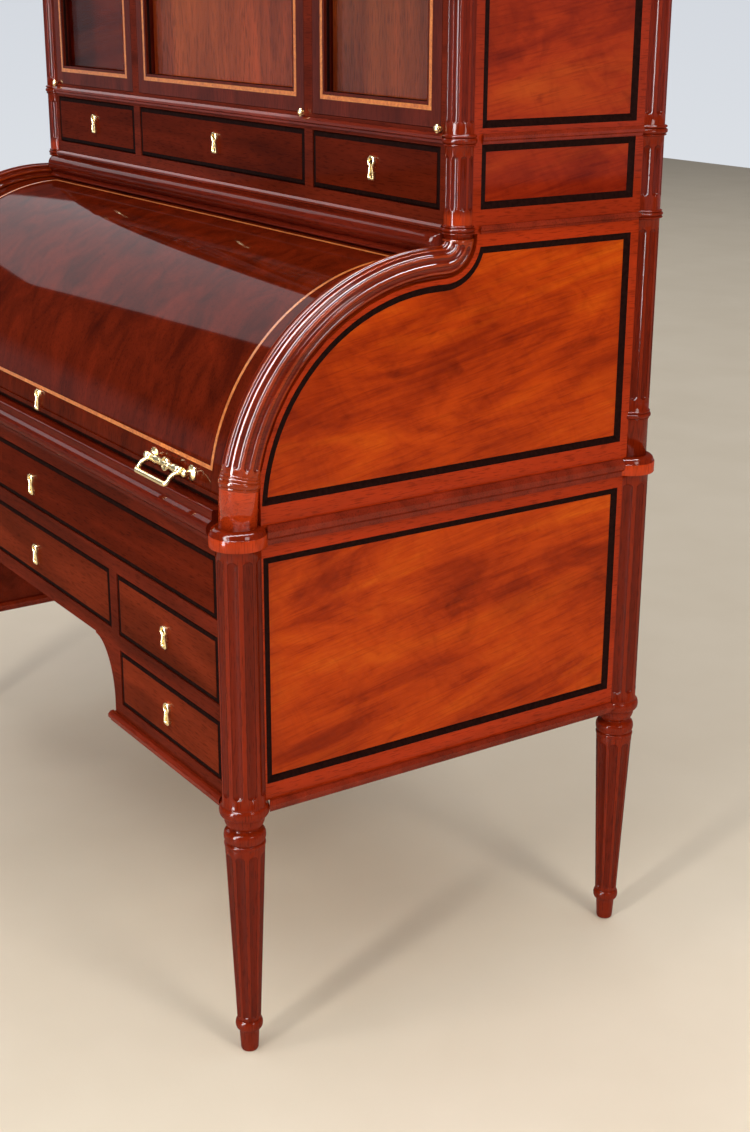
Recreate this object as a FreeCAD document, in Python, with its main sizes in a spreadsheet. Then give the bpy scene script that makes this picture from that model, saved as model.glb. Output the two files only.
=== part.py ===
"""Cylinder desk with a glazed bookcase on top: turned fluted posts, S-curved scrolls, drawers and doors.

Millimetres, +Z up, the front faces -Y, the origin is on the floor under the middle of the desk.
"""
import FreeCAD, Part
import math
import os
import re

V = FreeCAD.Vector

# Driving dimensions, one named cell each
DIMENSIONS = {
    # overall
    "body_width": 1280, "depth": 724, "height": 2100, "post_inset": 16, "rear_inset": 41,
    "board": 22, "back_board": 11, "thin_board": 16, "fit_gap": 1, "seat_gap": 0.3, "post_gap": 0.1,
    # legs and lower posts
    "foot_radius": 12, "toe_radius": 14, "toe_top": 34, "foot_ring_radius": 19, "foot_ring_height": 12,
    "leg_low_radius": 16.5, "leg_high_radius": 27.5, "leg_collar_radius": 28.5, "leg_collar_height": 12,
    "leg_neck_radius": 22, "base_ring_radius": 33.5, "post_radius": 29, "desk_ring_radius": 37,
    "waist_bottom": 735, "post_flutes": 9, "case_flutes": 10, "flute_depth": 3, "flute_margin": 14,
    # scroll moulding and cylinder
    "scroll_path_radius": 294, "scroll_radius": 24.8, "scroll_end_radius": 20.6, "scroll_start_angle": 12,
    "collar_radius": 27, "collar_angle": 9, "reverse_radius": 29, "scroll_steps": 10, "reverse_steps": 6,
    "cutter_sides": 12, "cylinder_radius": 292, "cylinder_thickness": 20, "cylinder_low_angle": 1.5,
    "cylinder_high_angle": 94, "lip_depth": 3, "lip_angle": 2.2,
    "arm_thickness": 6, "arm_setback": 7, "hub_radius": 13, "pin_radius": 7, "pin_gap": 0.05,
    "plate_size": 60, "plate_thickness": 6, "arm_width": 24, "arm_low_angle": 16, "arm_high_angle": 84,
    # handles
    "handle_offset": 445, "handle_span": 108, "handle_angle": 6, "handle_standoff": 11,
    "rosette_radius": 10, "rosette_thickness": 4, "handle_post_radius": 4, "rod_radius": 3.2,
    "bail_radius": 3, "bail_reach": 27.5, "bail_droop": 31.5, "bail_eye_radius": 6, "eye_inset": 7,
    "brass_sides": 10,
    # drawers and front openings
    "knee_lift": 4, "ring_flare": 8, "arch_reach": 58, "arch_step": 3, "knee_half": 268, "divider": 24,
    "front_thickness": 20, "band_width": 7, "band_depth": 1.5, "box_wall": 10, "box_floor": 7,
    "box_drop": 14, "guide_height": 12,
    # writing slide and nest
    "bearer_width": 60, "slide_board": 16, "slide_nose": 9, "slide_rail_back": 20,
    "nest_front": 340, "nest_length": 155, "nest_board": 12, "nest_bay": 190,
    # side panels and bands
    "panel_depth": 3.5, "band": 9.5, "band_flat": 1, "panel_front": 42.5, "band_clear": 25.5,
    # bookcase
    "cabinet_post_radius": 19, "cabinet_ring_radius": 22, "neck_height": 10, "cabinet_frame": 20,
    "mullion_in": 265, "rear_post_radius": 25, "rear_ring_step": 4, "cabinet_panel_front": 371,
    "door_stile": 31, "door_gap": 0.8, "glass_thickness": 4, "glass_rebate": 8, "glass_setback": 11,
    "shelf_setback": 30, "cornice_reach": 44,
    "hinge_reach": 6, "hinge_radius": 3, "hinge_sides": 6, "hinge_length": 6, "hinge_leaf": 4,
    # mouldings
    "base_reach": 9, "waist_reach": 9, "neck_reach": 6, "shelf_reach": 5,
    "roll_radius": 15, "roll_clear": 2, "roll_step": 8, "roll_lip": 4,
    # heights of the members, stacked from the writing level
    "waist_height": 25, "pivot_rise": 8, "upper_rail": 21, "frieze_height": 87, "rail": 23, "upper_row": 95,
    "lower_row": 86, "bottom_rail": 19.5, "base_height": 15, "neck_gap": 8, "leg_neck_height": 31.5,
    "slide_lip": 13, "nest_rise": 19, "nest_bay_height": 94, "nest_upper_height": 88,
    "panel_low_rail": 23.5, "panel_high_rail": 18, "scroll_panel_low": 25, "scroll_panel_high": 17,
    "deck_rise": 12, "deck_thickness": 25, "row_rail": 27, "row_height": 80, "door_rail": 22,
    "shelf_ring_rise": 5, "shelf_ring_height": 12, "row_panel_low": 3, "row_panel_high": 4,
    "case_panel_low": 2, "case_panel_high": 26, "top_rail": 25, "cornice_height": 90,
    # setbacks from the front, the posts and the back
    "front_stile": 31, "case_stile": 26, "mullion": 22, "nest_side": 16, "panel_rear": 33,
    "frieze_stop": 132, "pedestal_stop": 72, "knee_stop": 212, "cabinet_stop": 35, "slide_stop": 82,
    "cabinet_setback": 27, "case_post_setback": 11, "roll_overhang": 21, "back_inset": 18,
}

doc = FreeCAD.newDocument("cylinder_desk")
sheet = doc.addObject("Spreadsheet::Sheet", "dims")
for row, (alias, number) in enumerate(DIMENSIONS.items(), start=1):
    sheet.set("A%d" % row, alias)
    sheet.set("B%d" % row, str(number))
    sheet.setAlias("B%d" % row, alias)
doc.recompute()


class Size:
    """A length that knows both its number and the sheet expression that gives it."""

    def __init__(self, number, text):
        self.number = number
        self.text = text

    @staticmethod
    def of(other):
        return other if isinstance(other, Size) else Size(float(other), repr(float(other)))

    def _join(self, other, sign, number):
        return Size(number, "(%s %s %s)" % (self.text, sign, other.text))

    def __add__(self, other):
        other = Size.of(other)
        return self._join(other, "+", self.number + other.number)

    def __sub__(self, other):
        other = Size.of(other)
        return self._join(other, "-", self.number - other.number)

    def __mul__(self, other):
        other = Size.of(other)
        return self._join(other, "*", self.number * other.number)

    def __truediv__(self, other):
        other = Size.of(other)
        return self._join(other, "/", self.number / other.number)

    def __rsub__(self, other):
        return Size.of(other) - self

    def __neg__(self):
        return Size.of(0) - self

    def __float__(self):
        return self.number


class Dims:
    """Gives each cell of the sheet as a Size."""

    def __getattr__(self, alias):
        return Size(float(sheet.get(alias)), "dims." + alias)


d = Dims()
num = float

# Levels, from the writing slide down to the legs
d.rail_top = d.waist_bottom - d.upper_rail
d.frieze_bottom = d.rail_top - d.frieze_height
d.upper_row_top = d.frieze_bottom - d.rail
d.upper_row_bottom = d.upper_row_top - d.upper_row
d.lower_row_top = d.upper_row_bottom - d.rail
d.lower_row_bottom = d.lower_row_top - d.lower_row
d.kneehole_top = d.lower_row_top + d.knee_lift
d.arch_bottom = d.lower_row_bottom
d.base_top = d.lower_row_bottom - d.bottom_rail
d.base_bottom = d.base_top - d.base_height
d.leg_neck = d.base_bottom - d.neck_gap
d.leg_high = d.leg_neck - d.leg_neck_height
d.low_panel_bottom = d.base_top + d.panel_low_rail
d.low_panel_top = d.waist_bottom - d.panel_high_rail

# Levels, from the writing slide up to the cornice
d.waist_top = d.waist_bottom + d.waist_height
d.pivot_height = d.waist_top + d.pivot_rise
d.slide_rail_top = d.waist_top + d.slide_lip
d.nest_base = d.waist_bottom + d.nest_rise
d.nest_shelf = d.nest_base + d.nest_bay_height
d.nest_top = d.nest_shelf + d.nest_upper_height
d.deck_bottom = d.pivot_height + d.cylinder_radius + d.deck_rise
d.deck_top = d.deck_bottom + d.deck_thickness
d.high_panel_bottom = d.waist_top + d.scroll_panel_low
d.high_panel_top = d.deck_top - d.scroll_panel_high
d.row_bottom = d.deck_top + d.row_rail
d.row_top = d.row_bottom + d.row_height
d.door_bottom = d.row_top + d.door_rail
d.shelf_ring_bottom = d.row_top + d.shelf_ring_rise
d.shelf_ring_top = d.shelf_ring_bottom + d.shelf_ring_height
d.row_panel_bottom = d.row_bottom + d.row_panel_low
d.row_panel_top = d.row_top + d.row_panel_high
d.frame_top = d.height - d.cornice_height
d.door_top = d.frame_top - d.top_rail
d.case_panel_bottom = d.door_bottom + d.case_panel_low
d.case_panel_top = d.frame_top - d.case_panel_high
d.shelf_low = d.door_bottom + (d.frame_top - d.door_bottom) / 3
d.shelf_high = d.shelf_low + (d.frame_top - d.door_bottom) / 3

# Places worked out from the driving dimensions
SIDE = d.body_width / 2
INNER = SIDE - d.board
FRONT = d.desk_ring_radius - d.post_inset - d.depth / 2
BACK = d.depth / 2
BACK_FACE = BACK - d.back_board
POST_X = SIDE - d.post_inset
POST_Y = FRONT + d.post_inset
REAR_Y = BACK - d.rear_inset
PIVOT_Y = POST_Y + d.scroll_path_radius
PIVOT_Z = d.pivot_height
CASE_Y = PIVOT_Y + d.cabinet_setback
CASE_POST_Y = CASE_Y + d.case_post_setback
SCROLL_TOP = PIVOT_Z + d.scroll_path_radius + d.reverse_radius
RING_FLARE = d.ring_flare
KNEE_BOTTOM = d.upper_row_bottom + d.knee_lift
BACK_HALF = POST_X - d.back_inset
DRAWER_SPACE = BACK_FACE - FRONT - d.front_thickness
d.drawer_half = POST_X - d.front_stile
d.cabinet_half = POST_X - d.case_stile
d.mullion_out = d.mullion_in + d.mullion
d.slide_half = POST_X - d.desk_ring_radius - d.fit_gap
d.nest_half = d.slide_half - d.nest_side
d.cylinder_half = POST_X - d.collar_radius - d.fit_gap
d.pedestal_length = DRAWER_SPACE - d.pedestal_stop
d.frieze_length = DRAWER_SPACE - d.frieze_stop
d.knee_length = DRAWER_SPACE - d.knee_stop
d.slide_length = BACK_FACE - FRONT - d.slide_rail_back - d.slide_stop
d.cabinet_drawer_length = BACK_FACE - CASE_Y - d.front_thickness - d.cabinet_stop
nodes = []


def keep(obj, label):
    """Gives a sub-part the label that names its file and puts it on the list."""
    obj.Label = label
    nodes.append(obj)
    return obj


def feature(label, shape):
    """A sub-part whose form is worked out from the sheet's sizes with Part's own functions."""
    obj = doc.addObject("Part::Feature", label)
    obj.Shape = shape
    return keep(obj, label)


def bind(obj, **sizes):
    """Binds properties to sheet expressions; place_x, place_y, place_z bind the placement."""
    for name, size in sizes.items():
        size = Size.of(size)
        path = name.replace("place_", ".Placement.Base.") if name.startswith("place_") else name
        obj.setExpression(path, size.text)
    return obj


def box(name, x, y, z):
    """A bound box from (low, high) pairs."""
    obj = doc.addObject("Part::Box", name)
    low = [Size.of(pair[0]) for pair in (x, y, z)]
    span = [Size.of(pair[1]) - pair[0] for pair in (x, y, z)]
    return bind(obj, Length=span[0], Width=span[1], Height=span[2],
                place_x=low[0], place_y=low[1], place_z=low[2])


def rod(name, x, y, z, radius, length):
    """A bound upright cylinder."""
    obj = doc.addObject("Part::Cylinder", name)
    return bind(obj, Radius=radius, Height=length, place_x=x, place_y=y, place_z=z)


def compound(name, parts):
    obj = doc.addObject("Part::Compound", name)
    obj.Links = parts
    return obj


def fused(name, parts):
    obj = doc.addObject("Part::MultiFuse", name)
    obj.Shapes = parts
    return obj


def cut(name, base, tool):
    obj = doc.addObject("Part::Cut", name)
    obj.Base = base
    obj.Tool = tool
    return obj


def both(name, x, y, z):
    """A pair of bound boxes, one on each side of the middle."""
    return [box(name + "_right", x, y, z), box(name + "_left", (-Size.of(x[1]), -Size.of(x[0])), y, z)]


def centred(half):
    return (-Size.of(half), Size.of(half))


def mirrored(shape):
    return shape.mirror(V(0, 0, 0), V(1, 0, 0))


def solid(faces):
    """A solid bounded by flat faces, each given by its corners."""
    sides = [Part.Face(Part.makePolygon(list(corners) + list(corners[:1]))) for corners in faces]
    return Part.Solid(Part.Shell(sides))


def turned(points, sides, phase=0.0):
    """Turned form from (radius, height) points, with flat sides whose middles start at a phase angle."""
    turns = [math.radians(phase + (step + 0.5) * 360.0 / sides) for step in range(sides)]
    spots = [V(math.cos(turn), math.sin(turn), 0) for turn in turns]
    rings = [[spot * radius + V(0, 0, z) for spot in spots] for radius, z in points]
    faces = [rings[0][::-1], rings[-1]]
    for low, high in zip(rings, rings[1:]):
        for start in range(sides):
            end = (start + 1) % sides
            faces.append([low[start], low[end], high[end], high[start]])
    return solid(faces)


# How flat four corners must lie to make one face
FLATNESS = 1e-6

# Flutes: share of the pitch that is hollow, width of the floor, reach of the cutter past the surface
FLUTE_SHARE = 0.64
FLUTE_FLOOR = 0.5
FLUTE_MOUTH = 1.03

# Where the flutes face on each kind of post, in degrees
FRONT_FLUTES = (235, 275, 315, 355, 35)
REAR_FLUTES = (-40, 0, 40, 80)
CASE_FRONT_FLUTES = (232, 268, 304, 340, 16)
CASE_REAR_FLUTES = (-36, 0, 36, 72)

# Small steps of the turnings
FILLET = 2
RING_EDGE = 3
RING_UNDERCUT = 5
RING_CHAMFER = 7
RING_SLOPE = 0.3
CAP_CLEAR = 6

# Extra length of a cutter past the piece it cuts
PASS = 1


def flute(low, high, radius_at, count):
    """Tool for a hollow groove with sloping ends, on the side of a shaft that faces +X."""
    mouth = math.tan(math.pi / count * FLUTE_SHARE)
    deep = num(d.flute_depth) / num(d.post_radius)
    slope = mouth * radius_at(low)

    def ring(reach, width, inset):
        spots = [(low + inset, width), (high - inset, width), (high - inset, -width), (low + inset, -width)]
        return [V(radius_at(z) * reach, radius_at(z) * share, z) for z, share in spots]

    outer = ring(FLUTE_MOUTH, mouth * FLUTE_MOUTH, 0)
    inner = ring(1 - deep, mouth * FLUTE_FLOOR, slope)
    faces = [outer, inner[::-1]]
    for start in range(4):
        end = (start + 1) % 4
        faces.append([outer[start], outer[end], inner[end], inner[start]])
    return solid(faces)


def fluted(shape, runs):
    """Cuts runs of grooves, each (low, high, radius at a height, pitch count, list of angles)."""
    tools = []
    for low, high, radius_at, count, angles in runs:
        tool = flute(low, high, radius_at, count)
        for angle in angles:
            copy = tool.copy()
            copy.rotate(V(0, 0, 0), V(0, 0, 1), angle)
            tools.append(copy)
    return shape.cut(tools)


def straight(radius):
    return lambda z: radius


def seat(radius):
    """How far a post's side-board seat lies from its axis, so that it ends flush with the side."""
    return math.sqrt(num(radius) ** 2 - num(d.post_inset) ** 2)


def desk_post(angles):
    """Turned leg and fluted column in one piece, from the floor to the desk-level ring."""
    collar_low = num(d.leg_high)
    collar_half = num(d.leg_collar_height) / 2
    ring_low = num(d.toe_top) + FILLET
    ring_half = num(d.foot_ring_height) / 2
    ring_top = ring_low + 2 * ring_half
    base_low = num(d.base_bottom)
    base_top = num(d.base_top)
    waist = num(d.waist_bottom)
    neck = num(d.leg_neck_radius)
    base_ring = num(d.base_ring_radius)
    desk_ring = num(d.desk_ring_radius)
    low_radius = num(d.leg_low_radius)
    high_radius = num(d.leg_high_radius)
    count = int(num(d.post_flutes))
    shape = turned([
        (num(d.foot_radius), 0), (num(d.toe_radius), num(d.toe_top)), (low_radius, ring_low),
        (num(d.foot_ring_radius), ring_low + ring_half), (low_radius, ring_top), (high_radius, collar_low),
        (num(d.leg_collar_radius), collar_low + collar_half), (neck, collar_low + 2 * collar_half + FILLET),
        (neck, num(d.leg_neck)), (base_ring, base_low + RING_EDGE), (base_ring, base_top - RING_EDGE),
        (num(d.post_radius), base_top), (num(d.post_radius), waist - RING_UNDERCUT), (desk_ring, waist),
        (desk_ring, num(d.waist_top) - RING_CHAMFER), (desk_ring - RING_CHAMFER, num(d.waist_top)),
    ], 2 * count, angles[0])
    margin = num(d.flute_margin)

    def leg_radius(z):
        return low_radius + (high_radius - low_radius) * (z - ring_top) / (collar_low - ring_top)

    turns = [angles[0] + step * 360.0 / count for step in range(count)]
    return fluted(shape, [
        (ring_top + margin, collar_low - margin / 2, leg_radius, count, turns),
        (base_top + margin / 2, waist - margin, straight(num(d.post_radius)), count, angles)])


def placed(shape, x, y):
    copy = shape.copy()
    copy.translate(V(num(x), num(y), 0))
    return copy


def fluted_ring(radius, place, direction):
    """Corners of the scroll's section: flutes all round but for the flat that seats on the side."""
    deep = num(d.flute_depth) * radius / num(d.post_radius)
    across = V(1, 0, 0)
    up = across.cross(direction).normalize()
    pitch = 360.0 / num(d.post_flutes)
    half = pitch * FLUTE_SHARE / 2
    flat = math.degrees(math.acos(seat(d.scroll_radius) / radius))

    def point(angle, reach):
        turn = math.radians(angle)
        return place + across * (reach * math.cos(turn)) + up * (reach * math.sin(turn))

    points = [point(flat - 90, radius)]
    for step in range(-3, 3):
        middle = 90 + step * pitch
        points += [point(middle - half, radius), point(middle, radius - deep), point(middle + half, radius)]
    points.append(point(270 - flat, radius))
    return points


def lofted(rings):
    """Solid between rings of corners, with two flat triangles wherever four corners aren't in a plane."""
    faces = [rings[0][::-1], rings[-1]]
    for low, high in zip(rings, rings[1:]):
        for start in range(len(low)):
            end = (start + 1) % len(low)
            corners = [low[start], low[end], high[end], high[start]]
            across = (corners[1] - corners[0]).cross(corners[3] - corners[0]).normalize()
            if abs(across.dot(corners[2] - corners[0])) < FLATNESS:
                faces.append(corners)
            else:
                faces += [corners[:3], [corners[0], corners[2], corners[3]]]
    return solid(faces)


def on_arc(radius, angle):
    """A point at a reach and angle (degrees above level, towards the front) from the cylinder's pivot."""
    turn = math.radians(angle)
    return V(num(POST_X), num(PIVOT_Y) - radius * math.cos(turn), num(PIVOT_Z) + radius * math.sin(turn))


def scroll_stations():
    """Places and directions along the S-curve: large arc about the pivot, level run, reverse arc."""
    reach = num(d.scroll_path_radius)
    small = num(d.reverse_radius)
    start = num(d.scroll_start_angle)
    steps = int(num(d.scroll_steps))
    stations = []
    for step in range(steps + 1):
        angle = start + (90 - start) * step / steps
        turn = math.radians(angle)
        stations.append((on_arc(reach, angle), V(0, math.sin(turn), math.cos(turn))))
    hollow = V(num(POST_X), num(CASE_POST_Y) - small, num(SCROLL_TOP))
    bends = int(num(d.reverse_steps))
    for step in range(bends + 1):
        turn = math.pi / 2 * step / bends
        ahead = V(0, math.cos(turn), math.sin(turn))
        stations.append((hollow + V(0, ahead.z, -ahead.y) * small, ahead))
    return stations


def pipe(angles, radius):
    """A turned bar that follows the large arc about the pivot through the given angles."""
    reach = num(d.scroll_path_radius)
    sides = 2 * int(num(d.post_flutes))
    rings = []
    for angle in angles:
        turn = math.radians(angle)
        up = V(0, -math.cos(turn), math.sin(turn))
        place = on_arc(reach, angle)
        ring = []
        for step in range(sides):
            spot = 2 * math.pi * step / sides
            ring.append(place + V(radius * math.cos(spot), 0, 0) + up * (radius * math.sin(spot)))
        rings.append(ring)
    return lofted(rings)


def scroll(cutter):
    """Drum, collar and fluted S-curved moulding over one end of the cylinder, seated on the side board."""
    start = num(d.scroll_start_angle)
    stations = scroll_stations()
    thick = num(d.scroll_radius)
    taper = (thick - num(d.scroll_end_radius)) / (len(stations) - 1)
    rings = [fluted_ring(thick - taper * step, *station) for step, station in enumerate(stations)]
    drum = turned([(thick, num(d.waist_top)), (thick, num(PIVOT_Z))],
                  2 * int(num(d.post_flutes)), 180.0 / num(d.post_flutes) / 2)
    drum = placed(drum, POST_X, POST_Y)
    collar_angle = num(d.collar_angle)
    collar = pipe((collar_angle, start), num(d.collar_radius))
    lower = drum.fuse([pipe((0, collar_angle), thick), collar]).cut(cutter)
    return lower.fuse(lofted(rings))


def cabinet_post(bottom, radius, runs, rings, angles):
    """Turned post of the bookcase with rings and runs of flutes."""
    outline = [(radius, bottom)]
    for low, high, reach in rings:
        slope = (high - low) * RING_SLOPE
        outline += [(radius, low), (reach, low + slope), (reach, high - slope), (radius, high)]
    outline.append((radius, num(d.frame_top)))
    count = int(num(d.case_flutes))
    post = turned(outline, 2 * count, angles[0])
    return fluted(post, [(low, high, straight(radius), count, angles) for low, high in runs])


def ring_levels(reach):
    neck = num(d.deck_top)
    return [(neck, neck + num(d.neck_height), reach),
            (num(d.shelf_ring_bottom), num(d.shelf_ring_top), reach)]


def flute_runs():
    margin = num(d.flute_margin)
    return [(num(d.deck_top) + num(d.neck_height) + margin + CAP_CLEAR, num(d.shelf_ring_bottom) - margin),
            (num(d.shelf_ring_top) + margin, num(d.frame_top) - 2 * margin)]


def front_post(cutters):
    post = cabinet_post(num(SCROLL_TOP), num(d.cabinet_post_radius), flute_runs(),
                        ring_levels(num(d.cabinet_ring_radius)), CASE_FRONT_FLUTES)
    return placed(post, POST_X, CASE_POST_Y).cut(cutters)


def rear_post(cutters):
    """Rear bookcase post, which starts on the desk ring and passes the cylinder's level."""
    margin = num(d.flute_margin)
    start = math.radians(num(d.scroll_start_angle))
    drum_top = num(PIVOT_Z) + num(d.scroll_path_radius) * math.sin(start)
    ring_top = drum_top - FILLET
    runs = [(drum_top + margin, num(d.deck_top) - margin)] + flute_runs()
    radius = num(d.rear_post_radius)
    rings = [(ring_top - num(d.shelf_ring_height), ring_top, radius + RING_EDGE)]
    rings += ring_levels(radius + num(d.rear_ring_step))
    post = cabinet_post(num(d.waist_top), radius, runs, rings, CASE_REAR_FLUTES)
    return placed(post, POST_X, REAR_Y).cut(cutters)


def panel_rectangle(x, front, back, bottom, top):
    corners = [V(x, front, bottom), V(x, back, bottom), V(x, back, top), V(x, front, top)]
    return Part.makePolygon(corners + corners[:1])


def scroll_panel(x, inset):
    """Outline of the panel beside the cylinder, whose front edge keeps a set distance from the S-curve."""
    away = num(d.band_clear) + inset
    reach = num(d.scroll_path_radius) - away
    small = num(d.reverse_radius) + away
    low = num(d.high_panel_bottom) + inset
    high = num(d.high_panel_top) - inset
    back = num(REAR_Y) - num(d.panel_rear) - inset
    pivot_y = num(PIVOT_Y)
    pivot_z = num(PIVOT_Z)
    turn_y = num(CASE_POST_Y) - num(d.reverse_radius)
    turn_z = num(SCROLL_TOP)

    def large(angle):
        return V(x, pivot_y - reach * math.cos(angle), pivot_z + reach * math.sin(angle))

    def reverse(angle):
        return V(x, turn_y + small * math.sin(angle), turn_z - small * math.cos(angle))

    low_angle = math.asin((low - pivot_z) / reach)
    high_angle = math.acos((turn_z - high) / small)
    start = large(low_angle)
    crest = large(math.pi / 2)
    flat = reverse(0)
    end = reverse(high_angle)
    middle = large((low_angle + math.pi / 2) / 2)
    edges = [Part.Arc(start, middle, crest).toShape(), Part.makeLine(crest, flat)]
    edges.append(Part.Arc(flat, reverse(high_angle / 2), end).toShape())
    edges += [Part.makeLine(end, V(x, back, high)), Part.makeLine(V(x, back, high), V(x, back, low))]
    edges.append(Part.makeLine(V(x, back, low), start))
    return Part.Wire(edges)


def side_outlines():
    """Each recessed panel of a side, as a function of the plane and the inset from its edge."""
    front = num(FRONT)
    case_front = front + num(d.cabinet_panel_front)
    back = num(REAR_Y) - num(d.panel_rear)

    def rectangle(low_y, low_z, high_z):
        def outline(x, inset):
            return panel_rectangle(x, low_y + inset, back - inset, low_z + inset, high_z - inset)
        return outline

    desk_front = front + num(d.panel_front)
    desk = [rectangle(desk_front, num(d.low_panel_bottom), num(d.low_panel_top)), scroll_panel]
    cabinet = [rectangle(case_front, num(d.row_panel_bottom), num(d.row_panel_top)),
               rectangle(case_front, num(d.case_panel_bottom), num(d.case_panel_top))]
    return desk, cabinet


def panel_pocket(outline):
    face = Part.Face(outline(num(SIDE) - num(d.panel_depth), 0))
    return face.extrude(V(num(d.panel_depth) + PASS, 0, 0))


def panel_band(outline):
    """Bevelled ebony frame in a recess: flat along the outside, sloping in to the field."""
    low = num(SIDE) - num(d.panel_depth)
    outer = Part.Face(outline(low, 0)).extrude(V(num(d.panel_depth), 0, 0))
    mouth = Part.makeLoft([outline(num(SIDE), num(d.band_flat)), outline(low, num(d.band))], True, True)
    return outer.cut(mouth)


def post_cutter(x, y, radius, low, high):
    """Room for a post in the boards and mouldings round it, as a flat-sided bar that clears it."""
    sides = int(num(d.cutter_sides))
    reach = (radius + num(d.post_gap)) / math.cos(math.pi / sides)
    return placed(turned([(reach, low), (reach, high)], sides), x, y)


def side_blank(gap):
    """Desk side without its panels, following the S-curve above; a gap makes it a cutter."""
    x = num(INNER) - gap
    low = num(d.base_top) - gap
    top = num(d.deck_top)
    waist = num(d.waist_top)
    front = num(POST_Y) + seat(d.post_radius) - gap
    rear = num(REAR_Y) - seat(d.post_radius) + gap
    high_rear = num(REAR_Y) - seat(d.rear_post_radius) + gap
    away = seat(d.scroll_radius) - gap
    reach = num(d.scroll_path_radius) - away
    low_angle = math.acos((num(PIVOT_Y) - front) / reach)
    edge = [V(x, front, num(PIVOT_Z) + reach * math.sin(low_angle))]
    for place, ahead in scroll_stations():
        edge.append(V(x, place.y + ahead.z * away, place.z - ahead.y * away))
    edge += [V(x, edge[-1].y, top), V(x, high_rear, top), V(x, high_rear, waist), V(x, rear, waist),
             V(x, rear, low), V(x, front, low)]
    return Part.Face(Part.makePolygon(edge + edge[:1])).extrude(V(num(SIDE) - x, 0, 0))


def case_blank(gap):
    """Bookcase side without its panels, between the seats of its two posts."""
    x = num(INNER) - gap
    front = num(CASE_POST_Y) + seat(d.cabinet_post_radius) - gap
    rear = num(REAR_Y) - seat(d.rear_post_radius) + gap
    low = num(d.deck_top)
    return Part.makeBox(num(SIDE) - x, rear - front, num(d.frame_top) - low, V(x, front, low))


def desk_side(outlines):
    """Side board of the desk part with its recessed panels."""
    return side_blank(0).cut([panel_pocket(outline) for outline in outlines])


def cabinet_side(outlines):
    return case_blank(0).cut([panel_pocket(outline) for outline in outlines])


def arch_bracket():
    """Quarter-ellipse bracket under the rail at one side of the kneehole."""
    inner = num(d.knee_half)
    top = num(d.kneehole_top)
    reach = num(d.arch_reach)
    y = num(FRONT)
    corner = V(inner, y, top)
    nose = V(inner - reach, y, top)
    lip = V(inner - reach, y, top - num(d.arch_step))
    heel = V(inner, y, num(d.arch_bottom))
    middle = V(lip.x, y, heel.z)
    quarter = Part.ArcOfEllipse(Part.Ellipse(lip, heel, middle), 0, math.pi / 2).toShape()
    edges = [Part.makeLine(corner, nose), Part.makeLine(nose, lip), quarter, Part.makeLine(heel, corner)]
    return Part.Face(Part.Wire(edges)).extrude(V(0, num(d.front_thickness), 0))


# Section of a moulding from its wall, as shares of its reach and of its height
MOULDING = ((0, 0), (0.55, 0), (0.55, 0.25), (1, 0.4), (1, 0.7), (0.55, 1), (0, 1), (0, 0))


def moulding_run(start, end, outward, bottom, top, reach):
    """Straight half-round moulding between two points at one level, standing out from its wall."""
    foot = V(start.x, start.y, bottom)
    rise = V(0, 0, top - bottom)
    corners = [foot + outward * (reach * out) + rise * up for out, up in MOULDING]
    return Part.Face(Part.makePolygon(corners)).extrude(end - start)


def side_mouldings():
    """Base, waist, neck and shelf mouldings along the sides, between the posts' rings."""
    runs = []
    out = V(1, 0, 0)
    x = num(SIDE)
    rear_ring = num(d.rear_post_radius) + num(d.rear_ring_step)
    levels = [
        (num(d.base_bottom), num(d.base_top), num(d.base_reach), num(POST_Y), num(d.base_ring_radius)),
        (num(d.waist_bottom), num(d.waist_top), num(d.waist_reach), num(POST_Y), num(d.desk_ring_radius)),
        (num(d.deck_top), num(d.deck_top) + num(d.neck_height), num(d.neck_reach), num(CASE_POST_Y),
         rear_ring),
        (num(d.shelf_ring_bottom), num(d.shelf_ring_top), num(d.shelf_reach), num(CASE_POST_Y), rear_ring),
    ]
    for bottom, top, reach, front_y, ring in levels:
        run = moulding_run(V(x, front_y, 0), V(x, num(REAR_Y), 0), out, bottom, top, reach)
        for y in (front_y, num(REAR_Y)):
            run = run.cut(post_cutter(POST_X, y, ring, bottom - PASS, top + PASS))
        runs += [run, mirrored(run)]
    return runs


def front_mouldings():
    """Mouldings under the pedestals and along the front of the bookcase."""
    ahead = V(0, -1, 0)
    runs = []
    knee = num(d.knee_half)
    low = num(d.base_bottom)
    high = num(d.base_top)
    base = moulding_run(V(knee - num(d.base_reach), num(FRONT), 0), V(num(POST_X), num(FRONT), 0),
                        ahead, low, high, num(d.base_reach))
    base = base.cut(post_cutter(POST_X, POST_Y, num(d.base_ring_radius), low - PASS, high + PASS))
    inside = moulding_run(V(knee, num(FRONT), 0), V(knee, num(BACK_FACE), 0), V(-1, 0, 0),
                          low, high, num(d.base_reach))
    runs += [base, mirrored(base), inside, mirrored(inside)]
    left = V(-num(POST_X), num(CASE_Y), 0)
    right = V(num(POST_X), num(CASE_Y), 0)
    ring = num(d.cabinet_ring_radius)
    for bottom, top, reach in ((num(d.deck_top), num(d.deck_top) + num(d.neck_height), num(d.neck_reach)),
                               (num(d.shelf_ring_bottom), num(d.shelf_ring_top), num(d.shelf_reach))):
        run = moulding_run(left, right, ahead, bottom, top, reach)
        for sign in (1, -1):
            run = run.cut(post_cutter(POST_X * sign, CASE_POST_Y, ring, bottom - PASS, top + PASS))
        runs.append(run)
    return runs


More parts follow.
